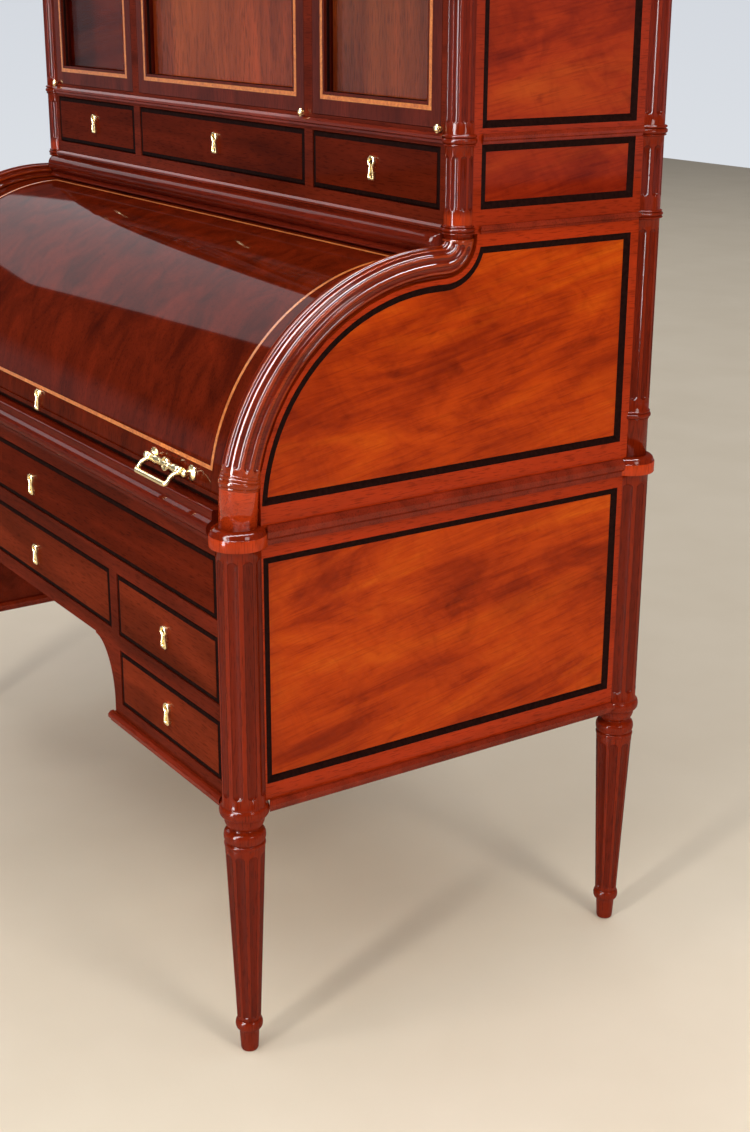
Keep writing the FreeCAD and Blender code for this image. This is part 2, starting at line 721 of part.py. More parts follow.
def extruded_profile(points, half):
    """Extrudes a closed outline in the YZ plane along X; a third value bulges that edge as an arc."""
    edges = []
    ring = list(points) + [points[0][:2]]
    for start, end in zip(ring, ring[1:]):
        a = V(-half, start[0], start[1])
        b = V(-half, end[0], end[1])
        bulge = end[2] if len(end) > 2 else 0
        if bulge:
            across = V(0, b.z - a.z, a.y - b.y).normalize()
            edges.append(Part.Arc(a, (a + b) * 0.5 + across * bulge, b).toShape())
        else:
            edges.append(Part.makeLine(a, b))
    return Part.Face(Part.Wire(edges)).extrude(V(2 * half, 0, 0))


# How far the curved edges of the roll stand out, the lip in millimetres and the roll as a share of its radius
LIP_BULGE = 1.5
ROLL_BULGE = 0.6


def top_roll():
    """Rounded rail above the cylinder, under the bookcase."""
    front = num(CASE_Y) - num(d.roll_overhang)
    low = num(PIVOT_Z) + num(d.cylinder_radius) + num(d.roll_clear)
    step = low + num(d.roll_step)
    high = step + 2 * num(d.roll_radius)
    deck = num(d.deck_top)
    back = num(CASE_Y)
    lip = num(d.roll_lip)
    bulge = num(d.roll_radius) * ROLL_BULGE
    points = [(back, low), (front, low), (front, low + lip, -LIP_BULGE), (front + lip, step),
              (front + lip, min(high, deck), -bulge), (back, deck)]
    half = num(POST_X) - num(d.scroll_radius) - num(d.fit_gap)
    return extruded_profile(points, half)


# Share of the slide's nose that stands square under its rounded part
NOSE_SQUARE = 0.6


def slide_front():
    """Moulded front edge of the writing slide, level with the desk rings."""
    front = num(FRONT)
    low = num(d.waist_bottom)
    waist = num(d.waist_top)
    top = num(d.slide_rail_top)
    nose = num(d.slide_nose)
    fore = front - nose * NOSE_SQUARE
    bulge = nose * (1 - NOSE_SQUARE)
    edge = num(d.fit_gap)
    back = front + num(d.slide_rail_back)
    points = [(back, low), (fore, low), (fore, low + RING_UNDERCUT), (fore, waist - RING_EDGE, -bulge),
              (front - edge, waist), (front, waist + FILLET), (front, top - RING_EDGE),
              (front + RING_EDGE, top, -edge), (back, top)]
    return extruded_profile(points, num(d.slide_half))


def sector(inner, outer, low_angle, high_angle, half):
    """Part of a tube about the cylinder's pivot line."""
    x = -half
    corners = [on_arc(inner, low_angle), on_arc(outer, low_angle), on_arc(outer, high_angle),
               on_arc(inner, high_angle)]
    for corner in corners:
        corner.x = x
    outside = on_arc(outer, (low_angle + high_angle) / 2)
    inside = on_arc(inner, (low_angle + high_angle) / 2)
    outside.x = x
    inside.x = x
    edges = [Part.makeLine(corners[0], corners[1]), Part.Arc(corners[1], outside, corners[2]).toShape(),
             Part.makeLine(corners[2], corners[3]), Part.Arc(corners[3], inside, corners[0]).toShape()]
    return Part.Face(Part.Wire(edges)).extrude(V(2 * half, 0, 0))


def cylinder():
    """Curved lid of the desk, with a lip along its lower edge."""
    outer = num(d.cylinder_radius)
    inner = outer - num(d.cylinder_thickness)
    low = num(d.cylinder_low_angle)
    half = num(d.cylinder_half)
    lid = sector(inner, outer, low, num(d.cylinder_high_angle), half)
    lip = sector(inner, outer + num(d.lip_depth), low, low + num(d.lip_angle), half)
    return lid.fuse(lip).removeSplitter()


def cylinder_arm():
    """Steel arm at the right: hub, two spokes to the lid and the pivot pin."""
    x = num(d.cylinder_half) - num(d.arm_setback) - num(d.arm_thickness)
    thickness = num(d.arm_thickness)
    centre = V(x, num(PIVOT_Y), num(PIVOT_Z))
    reach = num(d.cylinder_radius) - num(d.cylinder_thickness)
    width = num(d.arm_width)
    hub = num(d.hub_radius)
    pin = num(d.pin_radius)
    length = num(INNER) - x - num(d.fit_gap) / 2
    shape = turned([(hub, 0), (hub, thickness), (pin, thickness), (pin, length)], int(num(d.brass_sides)))
    shape.rotate(V(0, 0, 0), V(0, 1, 0), 90)
    for angle in (num(d.arm_low_angle), num(d.arm_high_angle)):
        spoke = Part.makeBox(thickness, reach, width, V(0, -reach, -width / 2))
        spoke = spoke.common(Part.makeCylinder(reach, thickness, V(0, 0, 0), V(1, 0, 0)))
        spoke.rotate(V(0, 0, 0), V(1, 0, 0), -angle)
        shape = shape.fuse(spoke)
    shape.translate(centre)
    return shape


# Share of the pivot plate that lies below the pin
PLATE_BELOW = 0.2


def pivot_plate():
    """Brass plate on the side board that the pivot pin turns in."""
    size = num(d.plate_size)
    thickness = num(d.plate_thickness)
    sides = int(num(d.brass_sides))
    room = (num(d.pin_radius) + num(d.pin_gap)) / math.cos(math.pi / sides)
    bore = turned([(room, -PASS), (room, thickness + PASS)], sides)
    bore.rotate(V(0, 0, 0), V(0, 1, 0), 90)
    plate = Part.makeBox(thickness, size, size, V(0, -size / 2, -size * PLATE_BELOW)).cut(bore)
    plate.translate(V(num(INNER) - thickness, num(PIVOT_Y), num(PIVOT_Z)))
    return plate


def handle_point():
    spot = on_arc(num(d.cylinder_radius) + num(d.handle_standoff), num(d.handle_angle))
    spot.x = num(d.handle_offset)
    return spot


# Thicker middle of a handle's rod as a share of its radius, and the rim of its rosettes
ROD_SWELL = 1.5
ROSETTE_EDGE = 1.2


def handle_mount():
    """Rosettes, posts and the turned rod that one bail swings on."""
    spot = handle_point()
    turn = math.radians(num(d.handle_angle))
    outward = V(0, -math.cos(turn), math.sin(turn))
    half = num(d.handle_span) / 2
    stand = num(d.handle_standoff)
    rod_radius = num(d.rod_radius)
    sides = int(num(d.brass_sides))
    swell = rod_radius * ROD_SWELL
    lathe = turned([(rod_radius, -half), (rod_radius, -half / 2), (swell, -half / 2 + PASS),
                    (swell, half / 2 - PASS), (rod_radius, half / 2), (rod_radius, half)], sides)
    lathe.Placement = FreeCAD.Placement(spot, FreeCAD.Rotation(V(0, 0, 1), V(1, 0, 0)))
    parts = [lathe]
    for sign in (1, -1):
        foot = spot + V(sign * half, 0, 0) - outward * stand
        stem = turned([(num(d.rosette_radius), 0), (num(d.rosette_radius), ROSETTE_EDGE),
                       (num(d.handle_post_radius), num(d.rosette_thickness)),
                       (num(d.handle_post_radius), stand + num(d.handle_post_radius))], sides)
        stem.Placement = FreeCAD.Placement(foot, FreeCAD.Rotation(V(0, 0, 1), outward))
        parts.append(stem)
    return parts[0].fuse(parts[1:]).removeSplitter()


def bail():
    """Squared loop handle: two eyes on the rod, two arms and a grip bar."""
    spot = handle_point()
    half = num(d.handle_span) / 2 - num(d.eye_inset) - num(d.handle_post_radius)
    radius = num(d.bail_radius)
    reach = num(d.bail_reach)
    width = 2 * radius
    eye = 2 * num(d.bail_eye_radius)
    span = 2 * half + width
    grip = Part.makeBox(span, width, width, V(-span / 2, -reach - radius, -radius))
    parts = []
    for sign in (1, -1):
        corner = V(sign * half - radius, 0, 0)
        parts.append(Part.makeBox(width, eye, eye, corner + V(0, -eye / 2, -eye / 2)))
        parts.append(Part.makeBox(width, reach, width, corner + V(0, -reach, -radius)))
    sides = int(num(d.brass_sides))
    room = (num(d.rod_radius) + num(d.seat_gap)) / math.cos(math.pi / sides)
    bore = turned([(room, -span), (room, span)], sides)
    bore.rotate(V(0, 0, 0), V(0, 1, 0), 90)
    loop = grip.fuse(parts).cut(bore).removeSplitter()
    loop.rotate(V(0, 0, 0), V(1, 0, 0), num(d.bail_droop))
    loop.translate(spot)
    return loop


def nest_case():
    """Pigeonholes behind the cylinder, standing on a fixed base board between the sides."""
    front = FRONT + d.nest_front
    back = front + d.nest_length
    y = (front, back)
    thick = d.nest_board
    base = (d.nest_base, d.nest_base + thick)
    end = REAR_Y - d.desk_ring_radius - d.fit_gap
    inside = d.nest_half - thick
    parts = [box("nest_base_board", centred(INNER), (front, end), base)]
    parts += both("nest_end", (inside, d.nest_half), y, (base[1], d.nest_top))
    parts += both("nest_wall", (d.nest_bay - thick, d.nest_bay), y, (base[1], d.nest_shelf))
    parts.append(box("nest_middle_shelf", centred(inside), y, (d.nest_shelf, d.nest_shelf + thick)))
    parts.append(box("nest_top_board", centred(inside), y, (d.nest_top - thick, d.nest_top)))
    return compound("nest_case", parts)


def post_clearance(name, levels, y):
    """Upright rods round both posts, one for each (bottom, top, radius), to cut the front members with."""
    rods = []
    for side, sign in (("right", 1), ("left", -1)):
        for step, (low, high, radius) in enumerate(levels):
            rods.append(rod("%s_%d_%s" % (name, step, side), POST_X * sign, y, low, radius + d.post_gap,
                            Size.of(high) - low))
    return fused(name, rods)


def front_frame():
    """Rails, dividers and stiles of the desk front, with the kneehole's arch brackets."""
    y = (FRONT, FRONT + d.front_thickness)
    outer = POST_X
    knee = d.knee_half
    stile = (d.drawer_half, outer)
    beside = [box("upper_rail", centred(outer), y, (d.rail_top, d.waist_bottom - d.seat_gap)),
              box("frieze_rail", centred(outer), y, (d.upper_row_top, d.frieze_bottom))]
    beside += both("frieze_stile", stile, y, (d.frieze_bottom, d.rail_top))
    beside += both("outer_stile", stile, y, (d.base_top, d.upper_row_top))
    clear = post_clearance("desk_post_clear", [
        (d.base_bottom, d.base_top + RING_FLARE, d.base_ring_radius),
        (d.base_top, d.waist_bottom, d.post_radius),
        (d.waist_bottom - RING_FLARE, d.waist_top, d.desk_ring_radius)], POST_Y)
    parts = [cut(member.Name + "_fitted", member, clear) for member in beside]
    parts.append(box("knee_rail", centred(knee), y, (d.kneehole_top, KNEE_BOTTOM)))
    parts += both("knee_stile", (knee, knee + d.divider), y, (d.base_top, d.upper_row_top))
    bay = (knee + d.divider, d.drawer_half)
    parts += both("middle_rail", bay, y, (d.lower_row_top, d.upper_row_bottom))
    parts += both("bottom_rail", bay, y, (d.base_top, d.lower_row_bottom))
    brackets = [doc.addObject("Part::Feature", "bracket_" + side) for side in ("right", "left")]
    brackets[0].Shape = arch_bracket()
    brackets[1].Shape = mirrored(arch_bracket())
    return compound("front_frame", parts + brackets)


def dust_boards():
    """Boards between the drawers, the bed under the writing slide and the drawer guides."""
    behind = (FRONT + d.front_thickness, BACK_FACE)
    thick = d.thin_board
    room = d.base_ring_radius + d.fit_gap
    beside = (POST_X - room, INNER + d.fit_gap)
    notches = both("front_notch", beside, (FRONT, POST_Y + room), (d.base_bottom, d.waist_bottom))
    notches += both("rear_notch", beside, (REAR_Y - room, BACK), (d.base_bottom, d.waist_bottom))
    clear = fused("bed_notches", notches)
    wall = d.knee_half + thick
    slide_bed = (d.rail_top + d.fit_gap * 2, d.waist_bottom - RING_FLARE)
    beds = [box("slide_bed", centred(INNER), behind, slide_bed),
            box("frieze_bed", centred(INNER), behind, (d.frieze_bottom - thick, d.frieze_bottom))]
    for name, level in (("upper", d.upper_row_bottom), ("lower", d.lower_row_bottom)):
        beds += both(name + "_bed", (wall, INNER), behind, (level - thick, level))
    parts = [cut(bed.Name + "_fitted", bed, clear) for bed in beds]
    parts.append(box("knee_bed", centred(d.knee_half), behind, (KNEE_BOTTOM - thick, KNEE_BOTTOM)))
    run = (POST_Y + d.desk_ring_radius + d.fit_gap, REAR_Y - d.desk_ring_radius - d.fit_gap)
    for name, level in (("upper", d.upper_row_bottom), ("lower", d.lower_row_bottom)):
        guide = (level, level + d.guide_height)
        parts += both(name + "_outer_guide", (d.drawer_half, INNER), run, guide)
        parts += both(name + "_inner_guide", (wall, d.knee_half + d.divider), run, guide)
    frieze_guide = (d.frieze_bottom, d.frieze_bottom + d.guide_height)
    parts += both("frieze_guide", (d.drawer_half, INNER), run, frieze_guide)
    bearer = (d.waist_bottom - RING_FLARE, d.waist_bottom - d.seat_gap)
    parts += both("slide_bearer", (d.slide_half - d.bearer_width, INNER), run, bearer)
    slide_guide = (d.waist_bottom - d.seat_gap, d.nest_base)
    parts += both("slide_guide", (d.slide_half + d.fit_gap, INNER), run, slide_guide)
    return compound("dust_boards", parts)


def desk_back():
    """Back boards of the pedestals, of the kneehole's apron and of the cylinder's level."""
    y = (BACK_FACE, BACK)
    edge = d.base_top + RING_FLARE
    ring_low = d.waist_bottom - RING_FLARE
    parts = both("pedestal_back", (d.knee_half, BACK_HALF), y, (edge, ring_low))
    parts.append(box("apron_back", centred(d.knee_half), y, (d.kneehole_top, ring_low)))
    parts.append(box("waist_back", centred(d.slide_half), y, (ring_low, d.waist_top)))
    parts.append(box("cylinder_back", centred(BACK_HALF), y, (d.waist_top, d.deck_top)))
    return compound("desk_back", parts)


def pedestal_sides():
    y = (FRONT + d.front_thickness, BACK_FACE)
    thick = d.thin_board
    z = (d.base_top, d.frieze_bottom - thick)
    return compound("pedestal_sides", both("pedestal_wall", (d.knee_half, d.knee_half + thick), y, z))


def cabinet_frame():
    """Rails, mullions and stiles of the bookcase front."""
    y = (CASE_Y, CASE_Y + d.cabinet_frame)
    outer = POST_X
    beside = [box("case_bottom_rail", centred(outer), y, (d.deck_top, d.row_bottom)),
              box("case_middle_rail", centred(outer), y, (d.row_top, d.door_bottom)),
              box("case_top_rail", centred(outer), y, (d.door_top, d.frame_top))]
    bays = (("row", (d.row_bottom, d.row_top)), ("case", (d.door_bottom, d.door_top)))
    for name, levels in bays:
        beside += both(name + "_stile", (d.cabinet_half, outer), y, levels)
    clear = post_clearance("case_post_clear", [
        (d.deck_bottom, d.height, d.cabinet_post_radius),
        (d.deck_top, d.deck_top + d.neck_height, d.cabinet_ring_radius),
        (d.shelf_ring_bottom, d.shelf_ring_top, d.cabinet_ring_radius)], CASE_POST_Y)
    parts = [cut(member.Name + "_fitted", member, clear) for member in beside]
    for name, levels in bays:
        parts += both(name + "_mullion", (d.mullion_in, d.mullion_out), y, levels)
    return compound("cabinet_frame", parts)


def cabinet_boards():
    """Drawer bed, partitions and floor inside the bookcase."""
    y = (CASE_Y + d.cabinet_frame, BACK_FACE)
    thick = d.thin_board
    inside = POST_X - d.rear_post_radius - d.fit_gap * 5
    wall = (d.mullion_in + d.fit_gap * 3, d.mullion_in + d.fit_gap * 3 + thick)
    parts = [box("row_bed", centred(inside), y, (d.row_bottom - thick, d.row_bottom)),
             box("case_floor", centred(inside), y, (d.door_bottom - thick, d.door_bottom))]
    parts += both("row_wall", wall, y, (d.row_bottom, d.door_bottom - thick))
    parts += both("case_wall", wall, y, (d.door_bottom, d.frame_top))
    return compound("cabinet_boards", parts)


def shelves():
    y = (CASE_Y + d.cabinet_frame + d.shelf_setback, BACK_FACE)
    thick = d.thin_board
    wall = d.mullion_in + d.fit_gap * 3
    edge = POST_X - d.rear_post_radius - d.fit_gap * 5
    parts = []
    for name, level in (("low", d.shelf_low), ("high", d.shelf_high)):
        parts.append(box(name + "_shelf", centred(wall), y, (level, level + thick)))
        parts += both(name + "_side_shelf", (wall + thick, edge), y, (level, level + thick))
    return compound("shelves", parts)


# Steps of the cornice from its foot: share of the reach, then start and end as shares of the height
CORNICE_STEPS = ((0.18, 0, 0.13), (0.32, 0.13, 0.22), (0.77, 0.49, 0.56), (1, 0.58, 1))


def cornice():
    """Moulded cornice round the front and the sides of the bookcase."""
    reach = num(d.cornice_reach)
    low = num(d.frame_top)
    rise = num(d.cornice_height)
    half = num(SIDE)
    front = num(CASE_Y)
    back = num(BACK)

    def layer(share, level):
        out = reach * share
        z = low + rise * level
        corners = [V(-half - out, front - out, z), V(half + out, front - out, z),
                   V(half + out, back, z), V(-half - out, back, z)]
        return Part.makePolygon(corners + corners[:1])

    slabs = []
    last = None
    for share, start, end in CORNICE_STEPS:
        slabs.append(Part.Face(layer(share, start)).extrude(V(0, 0, rise * (end - start))))
        if last is not None and start > last[1]:
            slabs.append(Part.makeLoft([layer(*last), layer(share, start)], True, True))
        last = (share, end)
    return slabs[0].fuse(slabs[1:]).removeSplitter()


def drawer_front(label, x, z, y):
    """Drawer front with a shallow rebate round its face for the ebony band."""
    gap = d.fit_gap
    width = (Size.of(x[0]) + gap, Size.of(x[1]) - gap)
    rise = (Size.of(z[0]) + gap, Size.of(z[1]) - gap)
    slab = box(label + "_slab", width, (y, y + d.front_thickness), rise)
    rim = d.band_width
    field = box(label + "_field", (width[0] + rim, width[1] - rim), (y - PASS, y + d.band_depth + PASS),
                (rise[0] + rim, rise[1] - rim))
    face = box(label + "_face", (width[0] - PASS, width[1] + PASS), (y - PASS, y + d.band_depth),
               (rise[0] - PASS, rise[1] + PASS))
    return keep(cut(label, slab, cut(label + "_rebate", face, field)), label)


def drawer_box(label, x, z, y, length):
    """Open-topped drawer box behind its front, carried on the board below."""
    gap = d.fit_gap
    width = (Size.of(x[0]) + gap, Size.of(x[1]) - gap)
    rise = (Size.of(z[0]) + d.seat_gap, Size.of(z[1]) - d.box_drop)
    start = y + d.front_thickness
    shell = box(label + "_shell", width, (start, start + length), rise)
    wall = d.box_wall
    hollow = box(label + "_hollow", (width[0] + wall, width[1] - wall),
                 (start + wall, start + length - wall), (rise[0] + d.box_floor, rise[1] + PASS))
    return keep(cut(label, shell, hollow), label)


def drawer(name, x, z, y, length):
    drawer_front(name + "_front", x, z, y)
    drawer_box(name + "_box", x, z, y, length)


def door(name, x):
    """Glazed door: a frame with a rebate at the back, and its pane."""
    gap = d.door_gap
    y = CASE_Y
    width = (Size.of(x[0]) + gap, Size.of(x[1]) - gap)
    rise = (d.door_bottom + gap, d.door_top - gap)
    stile = d.door_stile
    slab = box(name + "_slab", width, (y, y + d.cabinet_frame), rise)
    sight = box(name + "_sight", (width[0] + stile, width[1] - stile), (y - PASS, y + d.cabinet_frame + PASS),
                (rise[0] + stile, rise[1] - stile))
    lap = stile - d.glass_rebate
    bed = (width[0] + lap, width[1] - lap)
    bed_rise = (rise[0] + lap, rise[1] - lap)
    rebate = box(name + "_rebate", bed, (y + d.glass_setback, y + d.cabinet_frame + PASS), bed_rise)
    keep(cut(name + "_frame", slab, fused(name + "_opening", [sight, rebate])), name + "_frame")
    pane = (y + d.glass_setback, y + d.glass_setback + d.glass_thickness)
    keep(box(name + "_glass", bed, pane, bed_rise), name + "_glass")


def door_hinge(x, level, side):
    """Hinge barrel in front of a door's edge, with the leaf that holds it to the frame."""
    axis_y = num(CASE_Y) - num(d.hinge_reach)
    length = num(d.hinge_length)
    radius = num(d.hinge_radius)
    foot = V(x, axis_y, level)
    leaf = num(d.hinge_leaf)
    corner = V(x if side > 0 else x - leaf, axis_y + radius - num(d.fit_gap), level)
    plate = Part.makeBox(leaf, num(CASE_Y) - corner.y, length, corner)
    barrel = turned([(radius, 0), (radius, length)], int(num(d.hinge_sides)))
    barrel.translate(foot)
    return barrel.fuse(plate)


def door_hinges():
    """Two hinges on each door: the side doors hang on the outer stiles, the centre door on its right."""
    hinges = []
    levels = [num(level) - num(d.hinge_length) / 2 for level in (d.door_bottom, d.door_top)]
    for x, side in ((num(d.cabinet_half), 1), (-num(d.cabinet_half), -1), (num(d.mullion_in), 1)):
        hinges += [door_hinge(x, level, side) for level in levels]
    return hinges


# Corner posts, scrolls and bookcase posts, each seated on the side boards
desk_cutter = side_blank(num(d.post_gap))
case_cutter = case_blank(num(d.post_gap))


def pair(label, shape):
    """A node of two solids, one at each side of the desk."""
    return feature(label, Part.makeCompound([shape, mirrored(shape)]))


pair("posts_front", placed(desk_post(FRONT_FLUTES), POST_X, POST_Y).cut(desk_cutter))
pair("posts_rear", placed(desk_post(REAR_FLUTES), POST_X, REAR_Y).cut(desk_cutter))
pair("scrolls", scroll(desk_cutter))
pair("cabinet_posts_front", front_post([desk_cutter, case_cutter]))
pair("cabinet_posts_rear", rear_post([desk_cutter, case_cutter]))

# Sides with their panels and bands
desk_outlines, cabinet_outlines = side_outlines()
right_side = desk_side(desk_outlines)
feature("desk_side_right", right_side)
feature("desk_side_left", mirrored(right_side))
right_case = cabinet_side(cabinet_outlines)
feature("cabinet_side_right", right_case)
feature("cabinet_side_left", mirrored(right_case))
bands = [panel_band(outline) for outline in desk_outlines + cabinet_outlines]
feature("side_bands", Part.makeCompound(bands + [mirrored(band) for band in bands]))

# Carcass of the desk
keep(front_frame(), "front_frame")
keep(pedestal_sides(), "pedestal_sides")
keep(dust_boards(), "dust_boards")
keep(desk_back(), "desk_back")
feature("mouldings", Part.makeCompound(side_mouldings() + front_mouldings()))
keep(nest_case(), "nest_case")
feature("top_roll", top_roll())
keep(box("deck", centred(POST_X - d.rear_post_radius - d.fit_gap * 5), (CASE_Y, BACK_FACE),
         (d.deck_bottom, d.deck_top)), "deck")

# Cylinder, its arms and handles
feature("cylinder", cylinder())
pair("cylinder_arms", cylinder_arm())
pair("pivot_plates", pivot_plate())
pair("handle_mounts", handle_mount())
right_bail = bail()
feature("bail_right", right_bail)
feature("bail_left", mirrored(right_bail))

# Writing slide
feature("slide_front", slide_front())
slide_start = FRONT + d.slide_rail_back
keep(box("slide_board", centred(d.slide_half), (slide_start, slide_start + d.slide_length),
         (d.waist_bottom, d.waist_bottom + d.slide_board)), "slide_board")

# Bookcase
keep(cabinet_frame(), "cabinet_frame")
keep(cabinet_boards(), "cabinet_boards")
keep(shelves(), "shelves")
keep(box("cabinet_back", centred(BACK_HALF), (BACK_FACE, BACK), (d.deck_top, d.frame_top)), "cabinet_back")
feature("cornice", cornice())
feature("door_hinges", Part.makeCompound(door_hinges()))

# Drawers
bay_right = (d.knee_half + d.divider, d.drawer_half)
bay_left = (-bay_right[1], -bay_right[0])
drawer("frieze_drawer", centred(d.drawer_half), (d.frieze_bottom, d.rail_top), FRONT, d.frieze_length)
drawer("knee_drawer", centred(d.knee_half), (KNEE_BOTTOM, d.upper_row_top), FRONT, d.knee_length)
for side, bay in (("right", bay_right), ("left", bay_left)):
    drawer("upper_drawer_" + side, bay, (d.upper_row_bottom, d.upper_row_top), FRONT, d.pedestal_length)
    drawer("lower_drawer_" + side, bay, (d.lower_row_bottom, d.lower_row_top), FRONT, d.pedestal_length)
case_right = (d.mullion_out, d.cabinet_half)
case_left = (-case_right[1], -case_right[0])
case_bays = (("left", case_left), ("centre", centred(d.mullion_in)), ("right", case_right))
for side, bay in case_bays:
    drawer("cabinet_drawer_" + side, bay, (d.row_bottom, d.row_top), CASE_Y, d.cabinet_drawer_length)

# Glazed doors
for side, bay in case_bays:
    door("door_" + side, bay)

doc.recompute()
faults = []
for obj in doc.Objects:
    if any(word in state for state in obj.State for word in ("Invalid", "Error")):
        faults.append("%s: %s" % (obj.Label, obj.State))
for obj in nodes:
    if obj.Shape.isNull() or not obj.Shape.isValid() or not obj.Shape.Solids:
        faults.append("%s: bad shape" % obj.Label)
if faults:
    raise RuntimeError("; ".join(faults))

os.makedirs("parts", exist_ok=True)
for obj in nodes:
    obj.Shape.exportStep("parts/%s.step" % re.sub(r"\W", "_", obj.Label))
print("%d nodes written" % len(nodes))
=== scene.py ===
"""Looks of the cylinder desk: polished mahogany, ebony bands, satinwood lines, brass and glass."""

import math

import bmesh
import bpy
from mathutils import Matrix, Vector


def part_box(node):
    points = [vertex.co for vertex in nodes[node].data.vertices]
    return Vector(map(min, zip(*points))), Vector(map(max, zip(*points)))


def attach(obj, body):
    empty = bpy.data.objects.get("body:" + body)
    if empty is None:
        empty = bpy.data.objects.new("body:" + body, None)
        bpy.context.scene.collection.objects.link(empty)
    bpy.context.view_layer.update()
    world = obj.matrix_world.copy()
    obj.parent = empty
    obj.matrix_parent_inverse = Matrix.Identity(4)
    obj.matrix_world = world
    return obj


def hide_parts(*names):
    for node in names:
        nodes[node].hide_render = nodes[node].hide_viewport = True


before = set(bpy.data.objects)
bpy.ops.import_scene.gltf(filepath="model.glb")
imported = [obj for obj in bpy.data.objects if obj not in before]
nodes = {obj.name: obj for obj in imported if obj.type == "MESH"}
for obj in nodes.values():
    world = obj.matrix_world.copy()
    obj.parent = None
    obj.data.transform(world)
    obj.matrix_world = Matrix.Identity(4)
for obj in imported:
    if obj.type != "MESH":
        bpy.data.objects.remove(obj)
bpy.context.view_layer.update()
MM = 0.001

# Camera of the photograph: place in metres, angles in degrees, focal length and long side in millimetres
CAMERA_PLACE = (2.3974, -1.3004, 1.3999)
CAMERA_YAW = -56.334
CAMERA_PITCH = -18.931
CAMERA_ROLL = 0.227
CAMERA_LENS = 53.996
CAMERA_SENSOR = 36.0

# The cylinder's pivot line and outer radius
PIVOT_Y = -31 * MM
PIVOT_Z = 768 * MM
CYLINDER_RADIUS = 292 * MM

DRAWERS = ("frieze_drawer", "knee_drawer", "upper_drawer_right", "upper_drawer_left", "lower_drawer_right",
           "lower_drawer_left", "cabinet_drawer_left", "cabinet_drawer_centre", "cabinet_drawer_right")
DOORS = ("door_left", "door_centre", "door_right")


# Range in which most of a noise's values lie
NOISE_RANGE = (0.3, 0.7)


def set_stops(ramp, stops):
    """Puts the stops of a colour ramp in place, each as (position, colour)."""
    elements = ramp.elements
    while len(elements) < len(stops):
        elements.new(0.5)
    for element, (place, colour) in zip(elements, stops):
        element.position = place
        element.color = (*colour, 1.0)


class Graph:
    """Short names for the shader nodes that the materials below are made of."""

    def __init__(self, name):
        self.material = bpy.data.materials.new(name)
        self.material.use_nodes = True
        self.tree = self.material.node_tree
        self.tree.nodes.clear()
        self.shader = self.add("ShaderNodeBsdfPrincipled")
        out = self.add("ShaderNodeOutputMaterial")
        self.link(self.shader.outputs["BSDF"], out.inputs["Surface"])
        self.coords = self.add("ShaderNodeTexCoord").outputs["Object"]

    def add(self, kind):
        return self.tree.nodes.new(kind)

    def link(self, source, target):
        self.tree.links.new(source, target)

    def put(self, socket, value):
        if isinstance(value, bpy.types.NodeSocket):
            self.link(value, socket)
        else:
            socket.default_value = value

    def set(self, **values):
        for name, value in values.items():
            self.put(self.shader.inputs[name.replace("_", " ")], value)

    def turned(self, angle):
        """Coordinates turned about X, so that a figure runs at an angle across a side."""
        node = self.add("ShaderNodeMapping")
        self.link(self.coords, node.inputs["Vector"])
        node.inputs["Rotation"].default_value = (math.radians(-angle), 0, 0)
        return node.outputs["Vector"]

    def mapped(self, scale, turn=0):
        node = self.add("ShaderNodeMapping")
        self.link(self.turned(turn) if turn else self.coords, node.inputs["Vector"])
        node.inputs["Scale"].default_value = scale
        return node.outputs["Vector"]

    def noise(self, vector, scale=1.0, detail=4.0, rough=0.55, warp=0.0):
        node = self.add("ShaderNodeTexNoise")
        self.link(vector, node.inputs["Vector"])
        node.inputs["Scale"].default_value = scale
        node.inputs["Detail"].default_value = detail
        node.inputs["Roughness"].default_value = rough
        node.inputs["Distortion"].default_value = warp
        return node.outputs["Fac"]

    def ramp(self, value, stops):
        node = self.add("ShaderNodeValToRGB")
        self.link(value, node.inputs["Fac"])
        set_stops(node.color_ramp, stops)
        return node.outputs["Color"]

    def grey(self, value, low, high):
        """Maps the middle range of a noise onto a plain number from low to high."""
        node = self.add("ShaderNodeMapRange")
        self.link(value, node.inputs["Value"])
        limits = (*NOISE_RANGE, low, high)
        for name, number in zip(("From Min", "From Max", "To Min", "To Max"), limits):
            node.inputs[name].default_value = number
        return node.outputs["Result"]

    def mix(self, kind, share, first, second):
        node = self.add("ShaderNodeMix")
        node.data_type = "RGBA"
        node.blend_type = kind
        self.put(node.inputs[0], share)
        self.put(node.inputs[6], first)
        self.put(node.inputs[7], second)
        return node.outputs[2]

    def compute(self, kind, first, second):
        node = self.add("ShaderNodeMath")
        node.operation = kind
        self.put(node.inputs[0], first)
        self.put(node.inputs[1], second)
        return node.outputs["Value"]

    def axis(self, letter):
        node = self.add("ShaderNodeSeparateXYZ")
        self.link(self.coords, node.inputs["Vector"])
        return node.outputs[letter]

    def mark(self, name):
        """A number that the mesh carries at its points."""
        node = self.add("ShaderNodeAttribute")
        node.attribute_name = name
        return node.outputs["Fac"]

    def bump(self, height, strength, depth):
        node = self.add("ShaderNodeBump")
        node.inputs["Strength"].default_value = strength
        node.inputs["Distance"].default_value = depth
        self.link(height, node.inputs["Height"])
        self.link(node.outputs["Normal"], self.shader.inputs["Normal"])


def shades(colour, dark, light):
    """Three stops of a wood's figure, from a dark streak to a light one."""
    streak = [c * dark for c in colour]
    shine = [min(1.0, c * light) for c in colour]
    return [(0.28, streak), (0.5, colour), (0.74, shine)]


# How far a figure stretches along the grain and how fine it is across it, per metre
ALONG = 2.2
ACROSS = 24.0
GRAIN = {"X": (ALONG, ACROSS, ACROSS), "Y": (ACROSS, ALONG, ACROSS), "Z": (ACROSS, ACROSS, ALONG)}

# How much coarser the mottling is than the figure, and how much finer the pores are
MOTTLE_SCALE = 0.18
PORE_SCALE = 22

